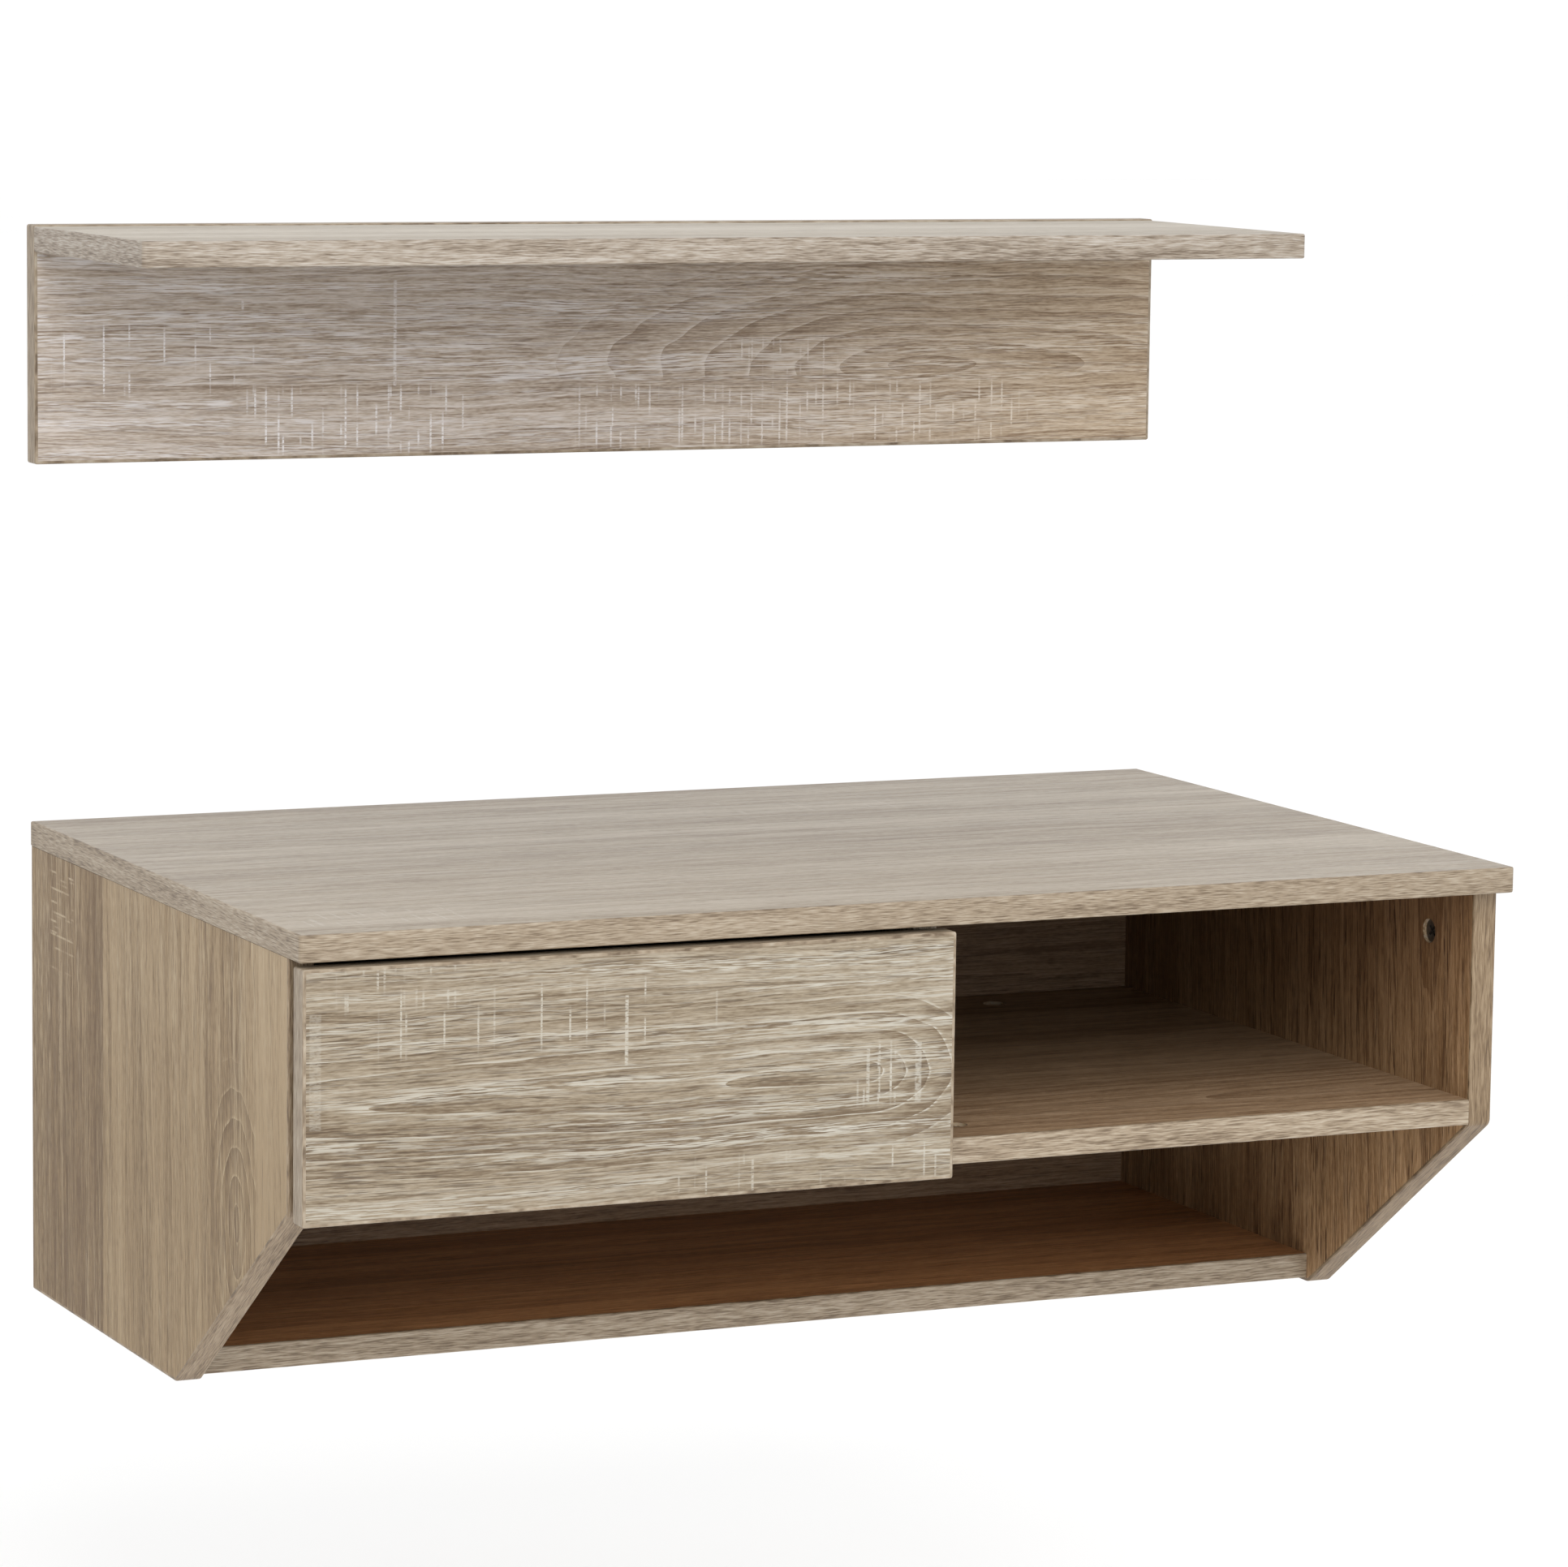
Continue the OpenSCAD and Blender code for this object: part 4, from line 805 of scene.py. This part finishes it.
def band_body(name, band, trim):
    """A band's mesh: a rounded slab less the board inside it

    bare lists the faces, as (axis, place), that no band covers, so their edges stay sharp.
    """
    low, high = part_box(band.node)
    axis = "XYZ".index(band.across)
    piece = block(name, low, high)
    if band.slanted:
        slice_off(piece, *slant_plane(band.node))
    if band.board:
        core_low, core_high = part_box(band.board)
        bare = [(i, end) for i in range(3) if i != axis
                for end, core in ((low[i], core_low[i]), (high[i], core_high[i])) if near(end, core)]
    else:
        ends = [(i, end) for i in range(3) if i not in (1, axis) for end in (low[i], high[i])]
        bare = [(1, high.y), *ends]

    def banded(a, b):
        return not any(near(a[i], end) and near(b[i], end) for i, end in bare)

    def is_corner(a, b):
        return not near(a[axis], b[axis]) and banded(a, b)

    def is_arris(a, b):
        return near(a[axis], b[axis]) and banded(a, b)

    if band.board:
        round_edges(piece, trim.front_corner if band.sharp else trim.corner, CORNER_STEPS, is_corner)
    round_edges(piece, trim.front_arris if band.sharp else trim.arris, ARRIS_STEPS, is_arris)
    if band.board:
        far_low, far_high = core_low.copy(), core_high.copy()
        far_low[axis] -= PAST_THE_FACE
        far_high[axis] += PAST_THE_FACE
        for i, end in bare:
            if near(end, low[i]):
                far_low[i] -= PAST_THE_FACE
            else:
                far_high[i] += PAST_THE_FACE
        core = block("core", far_low, far_high)
        if band.slanted:
            slice_off(core, *slant_plane(band.board))
        cut_away(piece, core)
    shade(piece)
    return piece


# ---- Rollers ----

ROLLERS = {
    "roller_wheel_cabinet_left": "roller_cabinet_left",
    "roller_wheel_cabinet_right": "roller_cabinet_right",
    "roller_wheel_drawer_left": "roller_drawer_left",
    "roller_wheel_drawer_right": "roller_drawer_right",
}
TURN_STEPS = 64
SEAM = 0.001 * MM


def wheel_pattern(size, bore, trim):
    """One roller about the X axis: a rounded tyre with a sunk web and a hub on both faces"""
    rim = size.z / 2
    half = size.x / 2
    hub = bore + trim.hub_wall
    inner = rim - trim.rim_wall
    outline = [
        (-half, bore), (-half, hub), (trim.web_sink - half, hub), (trim.web_sink - half, inner),
        (-half, inner), (-half, rim - trim.tyre), (trim.tyre - half, rim),
    ]
    outline += [(-x, r) for x, r in reversed(outline)]
    deselect()
    bpy.ops.mesh.primitive_circle_add(vertices=len(outline), radius=rim)
    wheel = place_in_mesh("wheel")
    for corner, (x, r) in zip(wheel.data.vertices, outline):
        corner.co = (x, 0, r)
    activate(wheel)
    bpy.ops.object.mode_set(mode="EDIT")
    bpy.ops.mesh.select_all(action="SELECT")
    bpy.ops.mesh.spin(steps=TURN_STEPS, angle=math.tau, center=(0, 0, 0), axis=(1, 0, 0))
    bpy.ops.mesh.select_all(action="SELECT")
    bpy.ops.mesh.remove_doubles(threshold=SEAM)
    bpy.ops.mesh.normals_make_consistent(inside=False)
    bpy.ops.object.mode_set(mode="OBJECT")
    shade(wheel, ROLLER_SMOOTH_ANGLE)
    return wheel


def bore_radius(node, middle):
    """Radius of the hole in a CAD roller"""
    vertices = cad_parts[node].data.vertices
    return min(math.hypot(v.co.y - middle.y, v.co.z - middle.z) for v in vertices)


# ---- Materials of the fittings ----

def metal_material(name, tint, roughness, streak):
    """Zinc-plated or cast metal with a fine, uneven lustre; streak is how much darker it gets"""
    material, weave = new_material(name)
    place = weave.add("ShaderNodeTexCoord").outputs["Object"]
    cloud = weave.noise(place, (160, 160, 160), 3.0)
    grit = weave.noise(place, (2600, 2600, 2600), 2.0)
    dull = tuple(channel * (1 - streak) for channel in tint)
    base = weave.ramp(weave.sum((cloud, 1.3), (grit, 0.4), (1.0, -0.35)), [(0.1, dull), (0.9, tint)])
    rough = weave.sum((cloud, 0.25), (grit, 0.10), (1.0, roughness - 0.17))
    finish_surface(weave, base, rough, grit, 0.03 * MM, 0.4, Metallic=1.0)
    return material


def painted_material(name, tint, roughness, peel):
    """Powder-coated steel or moulded plastic, with its fine surface texture, peel deep"""
    material, weave = new_material(name)
    place = weave.add("ShaderNodeTexCoord").outputs["Object"]
    cloud = weave.noise(place, (45, 45, 45), 2.0)
    skin = weave.noise(place, (1400, 1400, 1400), 2.0)
    shaded = tuple(channel * 0.90 for channel in tint)
    base = weave.ramp(weave.sum((cloud, 0.9), (skin, 0.4), (1.0, -0.15)), [(0.1, shaded), (0.9, tint)])
    rough = weave.sum((skin, 0.16), (1.0, roughness - 0.08))
    finish_surface(weave, base, rough, skin, peel, 0.5)
    return material


def dowel_material():
    """Beech dowels, with their grain along the dowel"""
    material, weave = new_material("beech_dowel")
    place = weave.add("ShaderNodeTexCoord").outputs["Object"]
    rays = weave.noise(place, (900, 900, 900), 2.0)
    cloud = weave.noise(place, (60, 60, 60), 2.0)
    mottle = weave.sum((rays, 0.8), (cloud, 0.5), (1.0, -0.15))
    base = weave.ramp(mottle, [(0.1, (0.42, 0.26, 0.13)), (0.9, (0.68, 0.49, 0.29))])
    finish_surface(weave, base, weave.sum((rays, 0.15), (1.0, 0.6)), rays, 0.1 * MM, 0.5)
    return material


def hardboard_material():
    """Pressed fibreboard of the drawer bottom, smooth with dark fibres"""
    material, weave = new_material("hardboard")
    place = weave.add("ShaderNodeTexCoord").outputs["Object"]
    fibres = weave.noise(place, (380, 1100, 380), 3.0)
    cloud = weave.noise(place, (9, 14, 9), 3.0)
    mottle = weave.sum((fibres, 0.9), (cloud, 0.8), (1.0, -0.35))
    base = weave.ramp(mottle, [(0.15, (0.20, 0.125, 0.075)), (0.85, (0.36, 0.25, 0.16))])
    finish_surface(weave, base, weave.sum((fibres, 0.2), (1.0, 0.5)), fibres, 0.1 * MM, 0.4)
    return material


# ---- Operators ----

def set_material(node, material):
    """Gives a CAD node one material and leaves its mesh alone"""
    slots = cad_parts[node].data.materials
    slots.clear()
    slots.append(material)


class OakBoards(bpy.types.Operator):
    """Give each board its printed oak and raw chipboard edges"""
    bl_idname = "tv_cabinet.oak_boards"
    bl_label = "Oak boards"
    bl_options = {"REGISTER", "UNDO"}

    def execute(self, context):
        look = context.scene.tv_cabinet
        pattern = oak_pattern(look.oak)
        for number, (name, board) in enumerate(BOARDS.items()):
            set_material(name, oak_material(name, board, number, look.oak, pattern))
        return {"FINISHED"}


class EdgeBands(bpy.types.Operator):
    """Make the rounded bands on the boards' edges"""
    bl_idname = "tv_cabinet.edge_bands"
    bl_label = "Edge bands"
    bl_options = {"REGISTER", "UNDO"}

    def execute(self, context):
        look = context.scene.tv_cabinet
        for name, band in BANDS.items():
            piece = band_body(name, band, look.trim)
            label = name.replace("edge_band", "oak_edging")
            finish = edging_material(label, band.across, band.tint, look.oak)
            hand_over(piece, band.body, band.node, finish)
        return {"FINISHED"}


class Rollers(bpy.types.Operator):
    """Make one roller and set a copy on each pin"""
    bl_idname = "tv_cabinet.rollers"
    bl_label = "Rollers"
    bl_options = {"REGISTER", "UNDO"}

    def execute(self, context):
        look = context.scene.tv_cabinet
        plastic = painted_material("white_nylon", (0.72, 0.72, 0.69), 0.38, 0.04 * MM)
        pattern = None
        for name, node in ROLLERS.items():
            low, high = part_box(node)
            middle = (low + high) / 2
            if pattern is None:
                pattern = wheel_pattern(high - low, bore_radius(node, middle), look.trim)
            piece = bpy.data.objects.new(name, pattern.data.copy())
            piece.data.transform(Matrix.Translation(middle))
            context.scene.collection.objects.link(piece)
            hand_over(piece, node, node, plastic)
        bpy.data.objects.remove(pattern)
        return {"FINISHED"}


class Fittings(bpy.types.Operator):
    """Finish the fittings that keep their CAD shape"""
    bl_idname = "tv_cabinet.fittings"
    bl_label = "Fittings"
    bl_options = {"REGISTER", "UNDO"}

    def execute(self, context):
        cast = metal_material("cast_zinc", (0.20, 0.185, 0.165), 0.48, 0.35)
        plated = metal_material("zinc_plate", (0.62, 0.62, 0.60), 0.30, 0.20)
        steel = painted_material("white_powder_coat", (0.78, 0.78, 0.76), 0.42, 0.08 * MM)
        finishes = {
            "cam_locks": cast, "drawer_cam_locks": cast,
            "cam_bolts": plated, "drawer_cam_bolts": plated,
            "wood_dowels": dowel_material(), "drawer_dowels": dowel_material(),
            "wall_shelf_dowels": dowel_material(),
            "hanger_plates": plated, "hanger_screws": plated,
            "wall_shelf_hanger_plates": plated, "wall_shelf_hanger_screws": plated,
            "wall_shelf_screws": plated, "drawer_back_screws": plated,
            "runner_cabinet_left": steel, "runner_cabinet_right": steel,
            "runner_drawer_left": steel, "runner_drawer_right": steel,
            "runner_cabinet_screws": plated, "runner_drawer_screws": plated,
            "roller_pins_cabinet": plated, "roller_pins_drawer": plated,
            "drawer_bottom": hardboard_material(),
        }
        for name, finish in finishes.items():
            set_material(name, finish)
        return {"FINISHED"}


FLOOR_SIDE = 60.0
FLOOR_DROP = 0.35
FLOOR_ROUGHNESS = 0.9
FLOOR_GREYS = [(0.2, (0.90, 0.90, 0.90)), (0.8, (0.94, 0.94, 0.94))]
SKY_STRENGTH = 1.1
BACKDROP_EXTRA = 0.1
KEY_OFFSET = Vector((-0.7, -3.0, 1.75))
KEY_SIDE = 1.9
KEY_POWER = 62
KEY_TINT = (1.0, 0.985, 0.96)
SENSOR_WIDTH = 36.0
VIEW_RANGE = (0.1, 100.0)


def lay_floor():
    """A plain pale floor below the cabinet"""
    deselect()
    bpy.ops.mesh.primitive_plane_add(size=FLOOR_SIDE, location=(0, 0, CAD_LOW.z - FLOOR_DROP))
    floor = place_in_mesh("floor")
    material, weave = new_material("pale_floor")
    place = weave.add("ShaderNodeTexCoord").outputs["Object"]
    cloud = weave.noise(place, (0.7, 0.7, 0.7), 2.0)
    finish_surface(weave, weave.ramp(cloud, FLOOR_GREYS), FLOOR_ROUGHNESS)
    floor.data.materials.append(material)


def light_room(scene):
    """An even white room, a little brighter where it is seen directly, and one soft square lamp"""
    world = bpy.data.worlds.new("soft_white")
    world.use_nodes = True
    world.node_tree.nodes.clear()
    weave = Weave(world.node_tree)
    seen = weave.add("ShaderNodeLightPath").outputs["Is Camera Ray"]
    strength = weave.math("MULTIPLY_ADD", seen, BACKDROP_EXTRA, SKY_STRENGTH)
    sky = weave.add("ShaderNodeBackground", {"Color": solid((1, 1, 1)), "Strength": strength})
    output = weave.add("ShaderNodeOutputWorld")
    weave.feed(output.inputs["Surface"], sky.outputs[0])
    scene.world = world

    light = bpy.data.lights.new("key", "AREA")
    light.shape = "SQUARE"
    light.size = KEY_SIDE
    light.energy = KEY_POWER
    light.color = KEY_TINT
    lamp = bpy.data.objects.new("key", light)
    lamp.location = (CAD_LOW + CAD_HIGH) / 2 + KEY_OFFSET
    lamp.rotation_euler = (-KEY_OFFSET).to_track_quat("-Z", "Y").to_euler()
    scene.collection.objects.link(lamp)


def set_camera(scene, view):
    """The camera at its place, level apart from its pitch and roll"""
    data = bpy.data.cameras.new("camera")
    data.lens = view.lens
    data.sensor_width = SENSOR_WIDTH
    data.clip_start, data.clip_end = VIEW_RANGE
    camera = bpy.data.objects.new("camera", data)
    camera.matrix_world = (
        Matrix.Translation(view.place) @ Matrix.Rotation(-view.yaw, 4, "Z")
        @ Matrix.Rotation(math.radians(90) + view.pitch, 4, "X") @ Matrix.Rotation(view.roll, 4, "Z")
    )
    scene.collection.objects.link(camera)
    scene.camera = camera


class Stage(bpy.types.Operator):
    """Make the floor, the light and the camera"""
    bl_idname = "tv_cabinet.stage"
    bl_label = "Stage"
    bl_options = {"REGISTER", "UNDO"}

    def execute(self, context):
        scene = context.scene
        scene.view_settings.view_transform = "Standard"
        lay_floor()
        light_room(scene)
        set_camera(scene, scene.tv_cabinet.camera)
        return {"FINISHED"}


OPERATORS = (OakBoards, EdgeBands, Rollers, Fittings, Stage)


class Look(bpy.types.PropertyGroup):
    """Everything that a user may change"""
    oak: bpy.props.PointerProperty(type=OakFinish)
    trim: bpy.props.PointerProperty(type=Trim)
    camera: bpy.props.PointerProperty(type=Camera)


class CabinetPanel(bpy.types.Panel):
    """Lists the pieces and their sizes and colours"""
    bl_idname = "VIEW3D_PT_tv_cabinet"
    bl_label = "TV cabinet"
    bl_space_type = "VIEW_3D"
    bl_region_type = "UI"
    bl_category = "TV cabinet"

    def draw(self, context):
        look = context.scene.tv_cabinet
        for operator in OPERATORS:
            self.layout.operator(operator.bl_idname)
        for group in (look.oak, look.trim, look.camera):
            box = self.layout.box()
            for key in group.bl_rna.properties.keys():
                if key not in {"name", "rna_type"}:
                    box.prop(group, key)


CLASSES = (OakFinish, Trim, Camera, Look, *OPERATORS, CabinetPanel)


def register():
    for item in CLASSES:
        bpy.utils.register_class(item)
    bpy.types.Scene.tv_cabinet = bpy.props.PointerProperty(type=Look)


def unregister():
    del bpy.types.Scene.tv_cabinet
    for item in reversed(CLASSES):
        bpy.utils.unregister_class(item)


def main():
    register()
    for operator in OPERATORS:
        group, name = operator.bl_idname.split(".")
        getattr(getattr(bpy.ops, group), name)()


if __name__ == "__main__":
    main()
